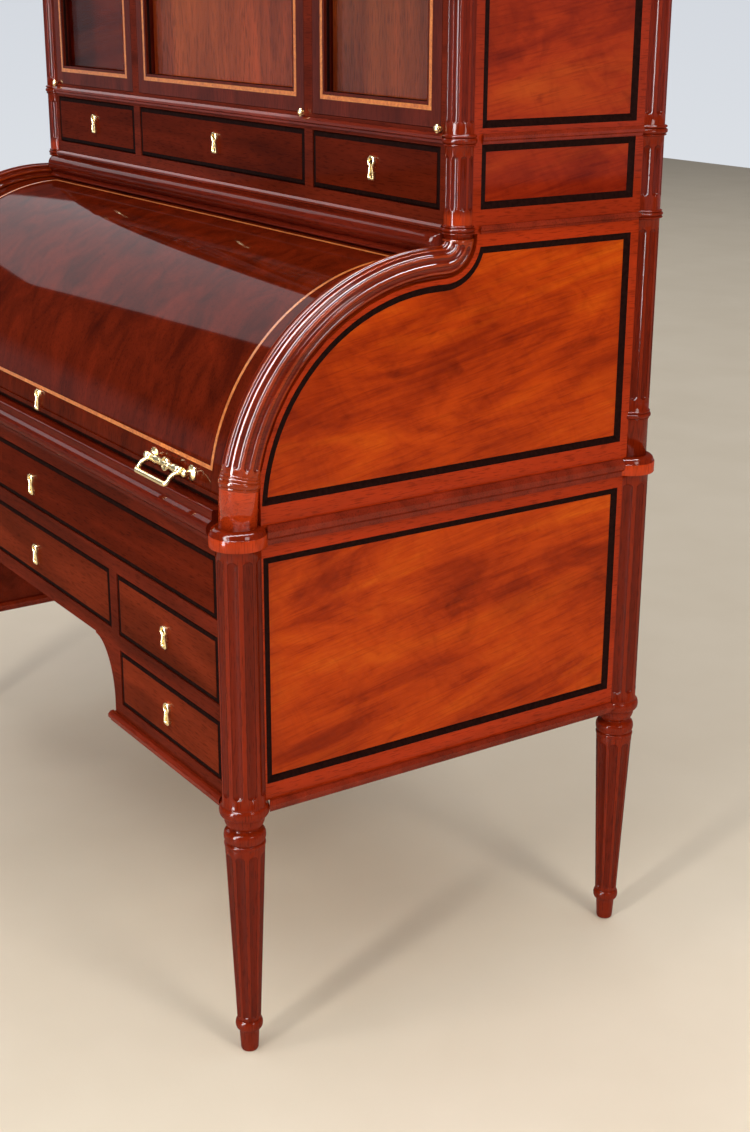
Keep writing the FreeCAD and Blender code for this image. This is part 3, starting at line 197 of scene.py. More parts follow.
# A tint that leaves a colour as it is
PLAIN = (1, 1, 1)


def grained(graph, colour, grain, dark=0.62, light=1.35, mottle=0.35):
    """Colour of a polished wood: long figure, cloudy mottling across it and short dark pores."""
    scale = GRAIN[grain]
    figure = graph.noise(graph.mapped(scale), scale=1.0, detail=6.0, rough=0.6, warp=0.9)
    tone = graph.ramp(figure, shades(colour, dark, light))
    coarse = graph.mapped([1 + s * MOTTLE_SCALE for s in scale])
    cloud = graph.noise(coarse, scale=2.4, detail=3.0, rough=0.5, warp=0.6)
    veil = graph.ramp(cloud, [(0.32, (0.52, 0.48, 0.46)), (0.55, PLAIN), (0.75, PLAIN)])
    tone = graph.mix("MULTIPLY", mottle * 2, tone, veil)
    fine = graph.mapped([s * PORE_SCALE for s in scale])
    pores = graph.noise(fine, scale=1.0, detail=2.0, rough=0.5)
    dots = graph.ramp(pores, [(0.36, (0.42, 0.36, 0.34)), (0.46, PLAIN)])
    tone = graph.mix("MULTIPLY", 0.55, tone, dots)
    return tone, figure, pores


def polished(graph, tone, figure, pores, rough=(0.34, 0.46), coat=0.24):
    """French polish: a thin clear coat over the wood, with a trace of its pores in the surface."""
    graph.set(Base_Color=tone, Roughness=graph.grey(figure, *rough), IOR=1.45)
    graph.set(Specular_IOR_Level=0.0, Coat_Weight=coat, Coat_Roughness=0.045, Coat_IOR=1.5)
    graph.bump(pores, strength=0.05, depth=0.0003)
    return graph.material


def wood(name, colour, grain, coat=0.24, rough=(0.34, 0.46), **look):
    graph = Graph(name)
    return polished(graph, *grained(graph, colour, grain, **look), rough=rough, coat=coat)


# Painted lighter colour of the plain drums, which are the same wood as the flutes, and the painted shade
# across a flute from its edge to its floor, with a painted highlight on the fillets between the scroll flutes
PAINTED_LIT_DRUM = (0.46, 0.042, 0.007)
POST_FLUTE_SHADE = ((0.0, PLAIN), (0.16, (0.42, 0.34, 0.34)), (0.45, (0.74, 0.68, 0.68)), (1.0, (0.66, 0.6, 0.6)))
SCROLL_FLUTE_SHADE_AND_HIGHLIGHT = ((0.0, (1.1, 1.3, 1.2)), (0.2, (0.68, 0.58, 0.58)), (0.6, (0.5, 0.42, 0.42)),
                 (1.0, (0.6, 0.52, 0.5)))


def turned_wood(name, colour, grain, coat, flute_shading):
    """Wood of the posts: painted shade in the hollows of the flutes, and a painted lighter copy of the wood
    on the plain drums.
    """
    graph = Graph(name)
    even = {"dark": 0.7, "light": 1.3, "mottle": 0.2}
    tone, figure, pores = grained(graph, colour, grain, **even)
    # Painted shade in the flute hollows and at their edges, and a painted highlight on the scroll fillets
    tone = graph.mix("MULTIPLY", 1.0, tone, graph.ramp(graph.mark("hollow"), flute_shading))
    # A lighter copy of the same wood, painted on the plain drums as light
    pale, _, _ = grained(graph, PAINTED_LIT_DRUM, grain, **even)
    return polished(graph, graph.mix("MIX", graph.mark("plain"), tone, pale), figure, pores, coat=coat)


# The recessed field of a side panel lies inside this distance from the middle of the desk
FIELD_PLANE = 638.3 * MM

# Figure of the side panels, from its dark streaks to its golden ones, about a colour of one
FLAME = ((0.26, (0.4, 0.3, 0.5)), (0.40, (0.68, 0.54, 0.75)), (0.52, (0.94, 0.9, 1.0)),
         (0.62, (1.06, 1.3, 1.2)), (0.76, (1.22, 2.0, 1.7)))
FLAME_SLOPE = 10
RIPPLE_SLOPE = 38
DIM_TINT = (0.84, 0.7, 0.7, 1.0)


def side_wood(name, field_colour, frame_colour, dim_below=0.0):
    """Side boards: a flamed field in each panel, dimmer below a height, inside redder stiles and rails."""
    graph = Graph(name)
    streak = graph.noise(graph.mapped((9, 1.5, 9), FLAME_SLOPE), scale=1.75, detail=8.0, rough=0.64, warp=1.1)
    stops = [(place, [c * share for c, share in zip(field_colour, tint)]) for place, tint in FLAME]
    field = graph.ramp(streak, stops)
    cloud = graph.noise(graph.mapped((1, 2.4, 4.4), FLAME_SLOPE), scale=2.2, detail=5.0, rough=0.6, warp=0.7)
    veil = graph.ramp(cloud, [(0.34, (0.6, 0.46, 0.5)), (0.5, (0.92, 0.87, 0.88)), (0.62, PLAIN)])
    field = graph.mix("MULTIPLY", 0.85, field, veil)
    ripple = graph.noise(graph.mapped((4, 22, 9), RIPPLE_SLOPE), scale=1.3, detail=4.0, rough=0.6, warp=2.4)
    glow = graph.ramp(ripple, [(0.36, (0.72, 0.6, 0.62)), (0.52, PLAIN), (0.7, PLAIN)])
    field = graph.mix("MULTIPLY", 0.3, field, glow)
    pores = graph.noise(graph.mapped((330, 13, 330), FLAME_SLOPE), scale=1.0, detail=3.0, rough=0.6)
    lines = graph.ramp(pores, [(0.34, (0.66, 0.56, 0.56)), (0.5, PLAIN)])
    field = graph.mix("MULTIPLY", 0.6, field, lines)
    smudge = graph.noise(graph.mapped((2, 9, 17), FLAME_SLOPE), scale=1.0, detail=3.0, rough=0.5, warp=0.8)
    spots = graph.ramp(smudge, [(0.26, (0.5, 0.38, 0.4)), (0.36, PLAIN)])
    field = graph.mix("MULTIPLY", 0.75, field, spots)
    low = graph.compute("LESS_THAN", graph.axis("Z"), dim_below)
    field = graph.mix("MULTIPLY", low, field, DIM_TINT)
    stile, _, _ = grained(graph, frame_colour, "Y", dark=0.75, light=1.22, mottle=0.2)
    aside = graph.compute("ABSOLUTE", graph.axis("X"), 0.0)
    outside = graph.compute("GREATER_THAN", aside, FIELD_PLANE)
    return polished(graph, graph.mix("MIX", outside, field, stile), streak, pores)


# Polished wood inside the bookcase, the bare boards that face the wall, and how deep the polish goes; the
# inside colour is partly the paler wood of the inside and partly painted light, raised to make up for the dim
# light inside the case
INSIDE = (0.70, 0.17, 0.036)
BARE_BACK = (0.15, 0.05, 0.02)
POLISH_DEPTH = 0.5 * MM


def case_back():
    """Back board of the bookcase: polished towards the shelves, bare towards the wall."""
    graph = Graph("mahogany_case_back")
    inner_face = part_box("cabinet_back")[0][1]
    # The polished face takes the inside colour, partly raised as painted light
    shown, figure, pores = grained(graph, INSIDE, "Z", mottle=0.2)
    bare, _, _ = grained(graph, BARE_BACK, "Z", mottle=0.3)
    behind = graph.compute("GREATER_THAN", graph.axis("Y"), inner_face + POLISH_DEPTH)
    tone = graph.mix("MIX", behind, shown, bare)
    return polished(graph, tone, figure, pores, rough=(0.45, 0.6), coat=0.03)


def ebony():
    graph = Graph("ebony")
    streak = graph.noise(graph.mapped((60, 60, 60)), scale=3.0)
    tone = graph.ramp(streak, [(0.3, (0.008, 0.0025, 0.002)), (0.7, (0.017, 0.0055, 0.004))])
    graph.set(Base_Color=tone, Roughness=graph.grey(streak, low=0.34, high=0.48))
    graph.set(Specular_IOR_Level=0.0, Coat_Weight=0.04, Coat_Roughness=0.08)
    graph.bump(streak, strength=0.05, depth=0.0003)
    return graph.material


def satinwood():
    graph = Graph("satinwood")
    streak = graph.noise(graph.mapped((90, 90, 90)), scale=2.0, detail=5.0, rough=0.6, warp=0.8)
    stops = [(0.3, (0.42, 0.09, 0.010)), (0.52, (0.66, 0.18, 0.022)), (0.7, (0.80, 0.28, 0.045))]
    graph.set(Base_Color=graph.ramp(streak, stops), Roughness=graph.grey(streak, low=0.3, high=0.42))
    graph.set(Coat_Weight=0.15, Coat_Roughness=0.08)
    graph.bump(streak, strength=0.04, depth=0.0002)
    return graph.material


def brass():
    graph = Graph("brass")
    tarnish = graph.noise(graph.coords, scale=70.0, rough=0.6, warp=0.4)
    stops = [(0.3, (0.66, 0.49, 0.23)), (0.5, (0.82, 0.65, 0.35)), (0.7, (0.90, 0.76, 0.46))]
    graph.set(Base_Color=graph.ramp(tarnish, stops), Metallic=1.0)
    graph.set(Roughness=graph.grey(tarnish, low=0.3, high=0.2))
    graph.bump(tarnish, strength=0.02, depth=0.0002)
    return graph.material


def steel():
    graph = Graph("arm_steel")
    brushed = graph.noise(graph.mapped((400, 30, 30)), detail=3.0)
    tone = graph.ramp(brushed, [(0.3, (0.22, 0.21, 0.2)), (0.7, (0.42, 0.41, 0.4))])
    graph.set(Base_Color=tone, Metallic=1.0, Roughness=graph.grey(brushed, low=0.32, high=0.5))
    graph.bump(brushed, strength=0.08, depth=0.0003)
    return graph.material


def oak():
    graph = Graph("drawer_oak")
    tone, figure, pores = grained(graph, (0.42, 0.24, 0.10), "X", dark=0.7, light=1.2, mottle=0.2)
    graph.set(Base_Color=tone, Roughness=graph.grey(figure, low=0.5, high=0.68))
    graph.bump(pores, strength=0.18, depth=0.0006)
    return graph.material


def leather():
    """Writing leather with a fine grain and worn, paler patches."""
    graph = Graph("writing_leather")
    grain = graph.add("ShaderNodeTexVoronoi")
    graph.link(graph.coords, grain.inputs["Vector"])
    grain.inputs["Scale"].default_value = 700.0
    wear = graph.noise(graph.coords, scale=6.0)
    tone = graph.ramp(wear, [(0.3, (0.035, 0.012, 0.006)), (0.7, (0.085, 0.028, 0.012))])
    graph.set(Base_Color=tone, Roughness=graph.grey(wear, low=0.42, high=0.6))
    graph.bump(grain.outputs["Distance"], strength=0.25, depth=0.0004)
    return graph.material


def glass():
    """Old window glass: clear and thin, with a slow ripple in what it reflects."""
    graph = Graph("pane_glass")
    ripple = graph.noise(graph.coords, scale=7.0, detail=2.0)
    film = graph.noise(graph.coords, scale=3.0, detail=3.0)
    tone = graph.ramp(film, [(0.3, (0.86, 0.92, 0.9)), (0.7, (0.94, 0.97, 0.96))])
    graph.set(Base_Color=tone, Metallic=1.0, Roughness=0.02, Alpha=0.024)
    graph.bump(ripple, strength=0.02, depth=0.002)
    return graph.material


# Height in metres under which the bookcase sides are dimmer, and how strong a drawer front's figure is
ROW_TOP = 1.215
DRAWER_FIGURE = {"dark": 0.66, "light": 1.3}

MATERIALS = {
    "desk_side": side_wood("mahogany_desk_side", (0.468, 0.05, 0.002), (0.36, 0.028, 0.004)),
    "case_side": side_wood("mahogany_case_side", (0.325, 0.028, 0.003), (0.27, 0.021, 0.004), ROW_TOP),
    "turned": turned_wood("mahogany_turned", (0.185, 0.0135, 0.002), "Z", 0.3, POST_FLUTE_SHADE),
    "scroll": turned_wood("mahogany_scroll", (0.25, 0.022, 0.003), "Y", 0.6, SCROLL_FLUTE_SHADE_AND_HIGHLIGHT),
    "rail": wood("mahogany_rail", (0.14, 0.015, 0.005), "X", coat=0.08),
    "moulding": wood("mahogany_moulding", (0.2, 0.018, 0.005), "X", coat=0.4, mottle=0.2),
    "drawer": wood("mahogany_drawer", (0.178, 0.023, 0.007), "X", coat=0.06, **DRAWER_FIGURE),
    "dark_drawer": wood("mahogany_dark_drawer", (0.112, 0.011, 0.003), "X", coat=0.05, **DRAWER_FIGURE),
    "roll": wood("mahogany_roll", (0.135, 0.012, 0.004), "X", coat=0.2, mottle=0.2),
    "cylinder": wood("mahogany_cylinder", (0.112, 0.0098, 0.002), "Z", coat=0.15, dark=0.6, light=1.4),
    "door": wood("mahogany_door", (0.12, 0.013, 0.005), "Z"),
    # The inside colour is partly paler wood and partly painted light
    "inside": wood("mahogany_inside", INSIDE, "Z", coat=0.05, rough=(0.4, 0.55), mottle=0.2),
    "back": wood("back_board", BARE_BACK, "Z", coat=0.0, rough=(0.55, 0.7), mottle=0.3),
    "case_back": case_back(),
    "oak": oak(), "ebony": ebony(), "satinwood": satinwood(), "brass": brass(), "steel": steel(),
    "leather": leather(), "glass": glass(),
}


def node_material(name):
    """Which material a CAD node shows."""
    by_end = {"_glass": "glass", "_box": "oak", "_front": "drawer", "_frame": "door"}
    named = {"side_bands": "ebony", "handle_mounts": "brass", "bail_right": "brass", "bail_left": "brass",
             "pivot_plates": "brass", "door_hinges": "brass", "cylinder_arms": "steel",
             "cylinder": "cylinder",
             "front_frame": "rail", "cabinet_frame": "rail", "slide_front": "roll", "slide_board": "oak",
             "mouldings": "moulding", "top_roll": "roll", "cornice": "rail", "dust_boards": "oak",
             "nest_case": "inside", "deck": "inside", "cabinet_boards": "inside", "shelves": "inside",
             "cabinet_back": "case_back", "pedestal_sides": "rail", "desk_back": "back"}
    if name in named:
        return MATERIALS[named[name]]
    if name.startswith(("posts_", "scrolls", "cabinet_posts_")):
        return MATERIALS["turned"]
    if name == "frieze_drawer_front" or name.startswith("cabinet_drawer") and name.endswith("_front"):
        return MATERIALS["dark_drawer"]
    if "_side_" in name:
        return MATERIALS["desk_side" if name.startswith("desk") else "case_side"]
    return MATERIALS[next(kind for end, kind in by_end.items() if name.endswith(end))]


for node_name, node in nodes.items():
    for place in node.material_slots:
        place.material = node_material(node_name)


def piece(name, mesh, material, body, smooth=False):
    """Turns a bmesh into a piece of the scene that rides on a body."""
    mesh.normal_update()
    bmesh.ops.recalc_face_normals(mesh, faces=mesh.faces[:])
    data = bpy.data.meshes.new(name)
    mesh.to_mesh(data)
    mesh.free()
    for polygon in data.polygons:
        polygon.use_smooth = smooth
    obj = bpy.data.objects.new(name, data)
    bpy.context.collection.objects.link(obj)
    data.materials.append(MATERIALS[material])
    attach(obj, body)
    return obj


def bridge(mesh, loops, closed_ends):
    """Joins rings of points with faces, and fills the first and last ring where asked."""
    rings = [[mesh.verts.new(point) for point in loop] for loop in loops]
    for low, high in zip(rings, rings[1:]):
        for start in range(len(low)):
            end = (start + 1) % len(low)
            mesh.faces.new((low[start], low[end], high[end], high[start]))
    if closed_ends:
        mesh.faces.new(rings[0])
        mesh.faces.new(rings[-1])
    return rings


def rectangle(low, high, inset, y):
    """Corners of an upright rectangle facing the front, drawn in by an inset."""
    x0, z0 = low[0] + inset, low[1] + inset
    x1, z1 = high[0] - inset, high[1] - inset
    return [(x0, y, z0), (x1, y, z0), (x1, y, z1), (x0, y, z1)]


def picture_frame(name, low, high, y, profile, material, body):
    """A mitred frame round an upright rectangle; the profile gives (inset, distance in front of y)."""
    mesh = bmesh.new()
    loops = [rectangle(low, high, inset, y - out) for inset, out in profile]
    bridge(mesh, loops + loops[:1], False)
    bmesh.ops.remove_doubles(mesh, verts=mesh.verts[:], dist=1e-7)
    piece(name, mesh, material, body)


# Turned posts: axes in metres, outlines as (radius, height) and flutes in millimetres
POST_X = 624 * MM
FRONT_POST_Y = -325 * MM
REAR_POST_Y = 321 * MM
CASE_POST_Y = 7 * MM
FLUTE_SHARE = 0.66
FLUTE_DEPTH = 0.105
SAMPLES_PER_PITCH = 14


def bead(low, high, inner, outer, steps=8):
    """Half-round turning between two heights, as outline points."""
    turns = [math.pi * step / steps for step in range(steps + 1)]
    middle, half = (low + high) / 2, (high - low) / 2
    return [(inner + (outer - inner) * math.sin(t), middle - half * math.cos(t)) for t in turns]


def quarter(start, end, bulge_first, steps=6):
    """Quarter-round turning from one outline point to another; bulge_first swells before it rises."""
    points = []
    for step in range(steps + 1):
        t = math.pi / 2 * step / steps
        across, along = (math.sin(t), 1 - math.cos(t)) if bulge_first else (1 - math.cos(t), math.sin(t))
        points.append((start[0] + (end[0] - start[0]) * across, start[1] + (end[1] - start[1]) * along))
    return points


LEG = ([(9.5, 0), (11.4, 0.9), (12.2, 3), (12.8, 14), (13.6, 28), (13.9, 33), (15.4, 34.5)]
       + bead(34.5, 49.5, 15.6, 19.0) + [(16.0, 50), (16.5, 53), (27.0, 317.5)]
       + bead(318, 323, 26.8, 27.9, 6) + bead(323.6, 341, 24.5, 28.4) + [(20.6, 342.5), (20.0, 344)]
       + quarter((20.0, 345), (27.6, 360), True) + [(27.6, 362)] + bead(362.3, 378, 30.0, 33.6)
       + [(30.4, 378.6), (29.0, 380.5)])
DESK_RING = ([(29.0, 734.6), (36.6, 735), (37.0, 735.6), (37.0, 750.4), (36.4, 751.2), (35.6, 751.6)]
             + [(35.6, 753)] + quarter((35.2, 753.4), (26.5, 760), False))
LEG_FLUTES = (56, 309, 9)
COLUMN_FLUTES = (393, 721, 9)


def outline_radius(outline, z):
    for (r0, z0), (r1, z1) in zip(outline, outline[1:]):
        if z0 <= z <= z1 and z1 > z0:
            return r0 + (r1 - r0) * (z - z0) / (z1 - z0)
    return outline[-1][0]


def hollow(angle, along, run, centres, radius):
    """How deep the flutes cut, as a share of the radius, at an angle and a place along their run."""
    low, high, count = run
    if not low < along < high:
        return 0.0
    half = math.pi / count * FLUTE_SHARE
    reach = half * radius
    end = max(0.0, 1 - min(along - low, high - along) / reach)
    near = min(abs((angle - centre + math.pi) % (2 * math.pi) - math.pi) for centre in centres)
    rest = 1 - (near / half) ** 2 - end ** 2
    return FLUTE_DEPTH * max(0.0, rest) ** 0.55


def flute_heights(run, radius):
    """Places along a run where its rounded ends need a ring of points."""
    low, high, count = run
    reach = math.pi / count * FLUTE_SHARE * radius
    steps = [0.0, 0.03, 0.1, 0.22, 0.38, 0.58, 0.8, 1.0]
    return [low + reach * step for step in steps] + [high - reach * step for step in reversed(steps)]


MARKS = ("hollow", "plain")


def mark_names(mesh):
    for name in MARKS:
        if name not in mesh.verts.layers.float:
            mesh.verts.layers.float.new(name)


def mark(mesh, rings, marks):
    """Writes how hollow and how plain each point of a turned form is, for the painted shade in the flutes and
    the painted lighter drums of its material.
    """
    layers = [mesh.verts.layers.float[name] for name in MARKS]
    for ring, values in zip(rings, marks):
        for point, pair in zip(ring, values):
            for layer, value in zip(layers, pair):
                point[layer] = value


def turned_post(mesh, centre, outline, runs, plain, sign):
    """Adds a turned, fluted post to a mesh; each run of flutes is (low, high, count, centre angles)."""
    count = max(run[2] for run in runs)
    sides = SAMPLES_PER_PITCH * count
    first = math.radians(runs[0][3][0])
    rings = list(outline)
    for low, high, number, _ in runs:
        for z in flute_heights((low, high, number), outline_radius(outline, (low + high) / 2)):
            rings.append((outline_radius(outline, z), z))
    rings.sort(key=lambda ring: ring[1])
    loops, marks = [], []
    for radius, z in rings:
        loop, values = [], []
        # How strongly the painted lighter colour of a plain drum shows at this height
        bare = max((share for low, high, share in plain if low <= z <= high), default=0.0)
        for step in range(sides):
            angle = first + 2 * math.pi * step / sides
            cut = sum(hollow(angle, z, run[:3], [math.radians(a) for a in run[3]], radius) for run in runs)
            reach = radius * (1 - cut) * MM
            x, y = centre[0] + reach * math.cos(angle), centre[1] + reach * math.sin(angle)
            loop.append((sign * x, y, z * MM))
            values.append((cut / FLUTE_DEPTH, bare))
        loops.append(loop)
        marks.append(values)
    mark_names(mesh)
    mark(mesh, bridge(mesh, loops, True), marks)


def post_pair(name, y, outline, runs, plain, node):
    """Both posts of one row, left and right, in place of their CAD node."""
    mesh = bmesh.new()
    for sign in (1, -1):
        turned_post(mesh, (POST_X, y), outline, runs, plain, sign)
    obj = piece(name, mesh, "turned", "carcass", smooth=True)
    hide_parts(node)


def case_rings(radius, reach):
    """Neck turnings and shelf ring of a bookcase post, and its plain shaft."""
    neck = (bead(1096.4, 1099.6, radius + 0.4, reach - 0.4, 6) + bead(1100, 1105, radius + 1, reach)
            + bead(1105.3, 1108, radius + 0.2, reach - 1.4, 6))
    shelf = (bead(1206.8, 1209.4, radius + 0.2, reach - 1.4, 6) + bead(1209.8, 1216.6, radius + 1, reach)
             + bead(1217, 1221, radius + 0.4, reach - 0.6, 6))
    below = [(radius, z) for z in (1108.4, 1109, 1119, 1126, 1206.4)]
    return [(radius, 1096)] + neck + below + shelf + [(radius, 1221.6), (radius, 2010)]


# Plain drums of the posts, as (low, high, how strongly they are painted lighter), and flutes of the bookcase
# posts, as (low, high, count)
RING_FACE = (735.4, 750.6, 1.0)
CASE_NECK = (1109, 1119, 0.7)
REAR_DRUM = (762, 812, 1.0)
ROW_FLUTES = (1127, 1195, 10)
CASE_FLUTES = (1235, 1982, 10)
REAR_FLUTES = (843, 1083, 10)
CASE_RADIUS, CASE_REACH = 19, 22.6
REAR_RADIUS, REAR_REACH = 24.6, 29


def posts():
    all_round = [40.0 * step for step in range(9)]
    for name, y, node, angles in (("front_posts", FRONT_POST_Y, "posts_front", (235, 275, 315, 355, 35)),
                                  ("rear_posts", REAR_POST_Y, "posts_rear", (-40, 0, 40, 80))):
        around = [angles[0] + turn for turn in all_round]
        runs = [(*LEG_FLUTES, around), (*COLUMN_FLUTES, angles)]
        post_pair(name, y, LEG + DESK_RING, runs, [RING_FACE], node)
    front = (232, 268, 304, 340, 16)
    shaft = [(CASE_RADIUS, 1091)] + case_rings(CASE_RADIUS, CASE_REACH)
    runs = [(*ROW_FLUTES, front), (*CASE_FLUTES, front)]
    post_pair("front_case_posts", CASE_POST_Y, shaft, runs, [CASE_NECK], "cabinet_posts_front")
    rear = (-36, 0, 36, 72)
    drum = ([(REAR_RADIUS, 760), (REAR_RADIUS, 812.6)] + bead(813, 815.4, 24.8, 25.6, 6)
            + bead(815.8, 822, 25.6, 28) + bead(822.4, 826, 25, 26.6, 6) + [(REAR_RADIUS, 826.4)])
    runs = [(*REAR_FLUTES, rear), (*ROW_FLUTES, rear), (*CASE_FLUTES, rear)]
    shaft = drum + case_rings(REAR_RADIUS, REAR_REACH)
    post_pair("rear_case_posts", REAR_POST_Y, shaft, runs, [REAR_DRUM], "cabinet_posts_rear")


# Scroll mouldings, in millimetres: reach of both arcs, level run between them and radii of the section
SCROLL_REACH = 294
REVERSE_REACH = 29
LEVEL_RUN = 9
SCROLL_RADIUS = 24.8
SCROLL_END_RADIUS = 20.6
ARC = SCROLL_REACH * math.pi / 2
REVERSE_ARC = REVERSE_REACH * math.pi / 2
ARC_STEPS = 44
REVERSE_STEPS = 12

# Plain drum under the collar, where the flutes begin and how far they stay from both ends of their run
DRUM_TOP = 40
FLUTED_FROM = SCROLL_REACH * math.radians(12)
FLUTE_START = 5
FLUTE_STOP = 7
FLUTES_PER_TURN = 12
SCROLL_FLUTES = (-45, -15, 15, 45, 75, 105, 135, 165, 195)


def scroll_station(along):
    """Centre and outward direction on the S-curve, by length in millimetres from the pivot's level."""
    pivot_y, pivot_z = PIVOT_Y / MM, PIVOT_Z / MM
    level = CASE_POST_Y / MM - REVERSE_REACH
    run = level - pivot_y
    if along < 0:
        return (pivot_y - SCROLL_REACH, pivot_z + along), (-1.0, 0.0)
    if along <= ARC:
        turn = along / SCROLL_REACH
        out = (-math.cos(turn), math.sin(turn))
        return (pivot_y + SCROLL_REACH * out[0], pivot_z + SCROLL_REACH * out[1]), out
    top = pivot_z + SCROLL_REACH
    if along <= ARC + run:
        return (pivot_y + along - ARC, top), (0.0, 1.0)
    turn = min(math.pi / 2, (along - ARC - run) / REVERSE_REACH)
    out = (-math.sin(turn), math.cos(turn))
    return (level + REVERSE_REACH * math.sin(turn), top + REVERSE_REACH * (1 - math.cos(turn))), out


def scroll_places(run, total):
    """Radius and place of every ring along a scroll moulding, from the drum to the post's neck."""
    places = [(SCROLL_RADIUS, -8), (SCROLL_RADIUS, DRUM_TOP)]
    places += bead(41, 43.4, 24.9, 25.7, 6) + bead(44, 51.6, 25.0, 27.2) + bead(52.2, 55.8, 25.0, 26.4, 6)
    places += bead(56.4, 59, 24.8, 25.5, 6) + [(SCROLL_RADIUS, 59.6), (SCROLL_RADIUS, FLUTED_FROM)]
    taper = (SCROLL_RADIUS - SCROLL_END_RADIUS) / (total - FLUTED_FROM)
    lengths = [FLUTED_FROM + (ARC - FLUTED_FROM) * step / ARC_STEPS for step in range(1, ARC_STEPS + 1)]
    lengths += [ARC + LEVEL_RUN + REVERSE_ARC * step / REVERSE_STEPS for step in range(REVERSE_STEPS + 1)]
    first_ends = flute_heights(run, SCROLL_RADIUS)
    last_ends = flute_heights(run, SCROLL_END_RADIUS)
    half = len(first_ends) // 2
    for along in lengths + first_ends[:half] + last_ends[half:]:
        places.append((SCROLL_RADIUS - taper * (along - FLUTED_FROM), along))
    return sorted(places, key=lambda place: place[1])


def scroll_mouldings():
    """Drum, collar beads and the fluted S-curve over each end of the cylinder."""
    total = ARC + LEVEL_RUN + REVERSE_ARC
    run = (FLUTED_FROM + FLUTE_START, total - FLUTE_STOP, FLUTES_PER_TURN)
    places = scroll_places(run, total)
    centres = [math.radians(angle) for angle in SCROLL_FLUTES]
    sides = SAMPLES_PER_PITCH * FLUTES_PER_TURN
    mesh = bmesh.new()
    for sign in (1, -1):
        loops, marks = [], []
        for radius, along in places:
            (y, z), out = scroll_station(along)
            loop, values = [], []
            for step in range(sides):
                angle = centres[0] + 2 * math.pi * step / sides
                cut = hollow(angle, along, run, centres, radius)
                reach = radius * (1 - cut)
                # The plain drum below the collar takes the painted lighter colour of the wood
                values.append((cut / FLUTE_DEPTH, float(along <= DRUM_TOP)))
                across, up = reach * math.cos(angle), reach * math.sin(angle)
                loop.append((sign * (POST_X + across * MM), (y + out[0] * up) * MM, (z + out[1] * up) * MM))
            loops.append(loop)
            marks.append(values)
        mark_names(mesh)
        mark(mesh, bridge(mesh, loops, True), marks)
    obj = piece("scroll_mouldings", mesh, "scroll", "carcass", smooth=True)
    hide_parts("scrolls")


# Upright fillets that close the corner between the back boards and the rear posts, as (x, y) in mm
FILLET = ((599, 331), (608, 331), (611, 335), (611, 348.5), (609.5, 350.9), (599, 350.9))


def back_fillets():
    mesh = bmesh.new()
    for node in ("desk_back", "cabinet_back"):
        low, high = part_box(node)
        for sign in (1, -1):
            loops = [[(sign * x * MM, y * MM, z) for x, y in FILLET] for z in (low[2], high[2])]
            bridge(mesh, loops, True)
    piece("back_fillets", mesh, "back", "carcass")


# Roll over the cylinder: lip and roll in millimetres, and how its ends return to the necks of the posts
ROLL_LIP = 4
ROLL_LIP_BULGE = 1.5
LIP_STEPS = 8
ROLL_STEP = 8
ROLL_BULGE = 9
ROLL_STEPS = 28
RETURN_SETBACK = 2
RETURN_LENGTH = 20
RETURN_DEPTH = 16
RETURN_STEPS = 8


def swelling(y, low, high, bulge, steps):
    """Points of an arc in front of an upright line, standing out by a bulge, in millimetres."""
    half = (high - low) / 2
    radius = (half * half + bulge * bulge) / (2 * bulge)
    spread = math.asin(half / radius)
    turns = [spread * (2 * step / steps - 1) for step in range(steps + 1)]
    return [(y + radius - bulge - radius * math.cos(t), low + half + radius * math.sin(t)) for t in turns]


def top_roll():
    """Moulded roll between the scrolls, with its ends turned back into the necks of the bookcase posts."""
    low, high = ([value / MM for value in corner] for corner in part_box("top_roll"))
    roll_front = low[1] + ROLL_BULGE
    lip_front = roll_front - ROLL_LIP
    lip = swelling(lip_front, low[2], low[2] + ROLL_LIP, ROLL_LIP_BULGE, LIP_STEPS)
    roll = swelling(roll_front, low[2] + ROLL_STEP, high[2], ROLL_BULGE, ROLL_STEPS)
    back = high[1]
    section = [(back, low[2])] + lip + roll + [(back, high[2])]
    depth = back - low[1]
    ends = []
    for step in range(RETURN_STEPS + 1):
        turn = math.pi / 2 * step / RETURN_STEPS
        share = 1 - RETURN_DEPTH / depth * (1 - math.cos(turn))
        ends.append((high[0] - RETURN_SETBACK + RETURN_LENGTH * math.sin(turn), share))
    stations = [(-x, share) for x, share in reversed(ends)] + ends
    loops = [[(x * MM, (back + (y - back) * share) * MM, z * MM) for y, z in section]
             for x, share in stations]
    mesh = bmesh.new()
    bridge(mesh, loops, True)
    obj = piece("roll_moulding", mesh, "roll", "carcass")
    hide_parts("top_roll")


# Brass handles: rosettes, turned rod and bail, all in millimetres about the middle of the rod
HANDLE_X = 445
HANDLE_ANGLE = math.radians(6)
HANDLE_REACH = 303
HANDLE_STAND = 11
HANDLE_HALF = 54
BAIL_HALF = 43
BAIL_REACH = 27.5
BAIL_DROOP = math.radians(31.5)
BAIL_RADIUS = 3.5
BAIL_SIDES = 16
BAIL_CORNER = 4.2
CORNER_STEPS = 8
ARM_START = 3.6
ARM_BOW = 2.8
ARM_STEPS = 14
ROD = [(0.0, -58.5), (2.4, -58.3), (4.0, -57.0), (4.6, -54.6), (4.0, -52.2), (3.1, -51.0), (3.0, -48.0),
       (3.0, -38.2), (4.8, -37.4), (5.5, -36.2), (4.9, -34.9), (4.5, -34.0), (5.4, -31.0), (5.9, -27.4),
       (5.4, -22.4), (4.4, -17.0), (3.8, -13.6), (4.8, -12.6), (5.2, -11.4), (4.6, -10.2), (4.2, -9.4),
       (4.6, 0)]
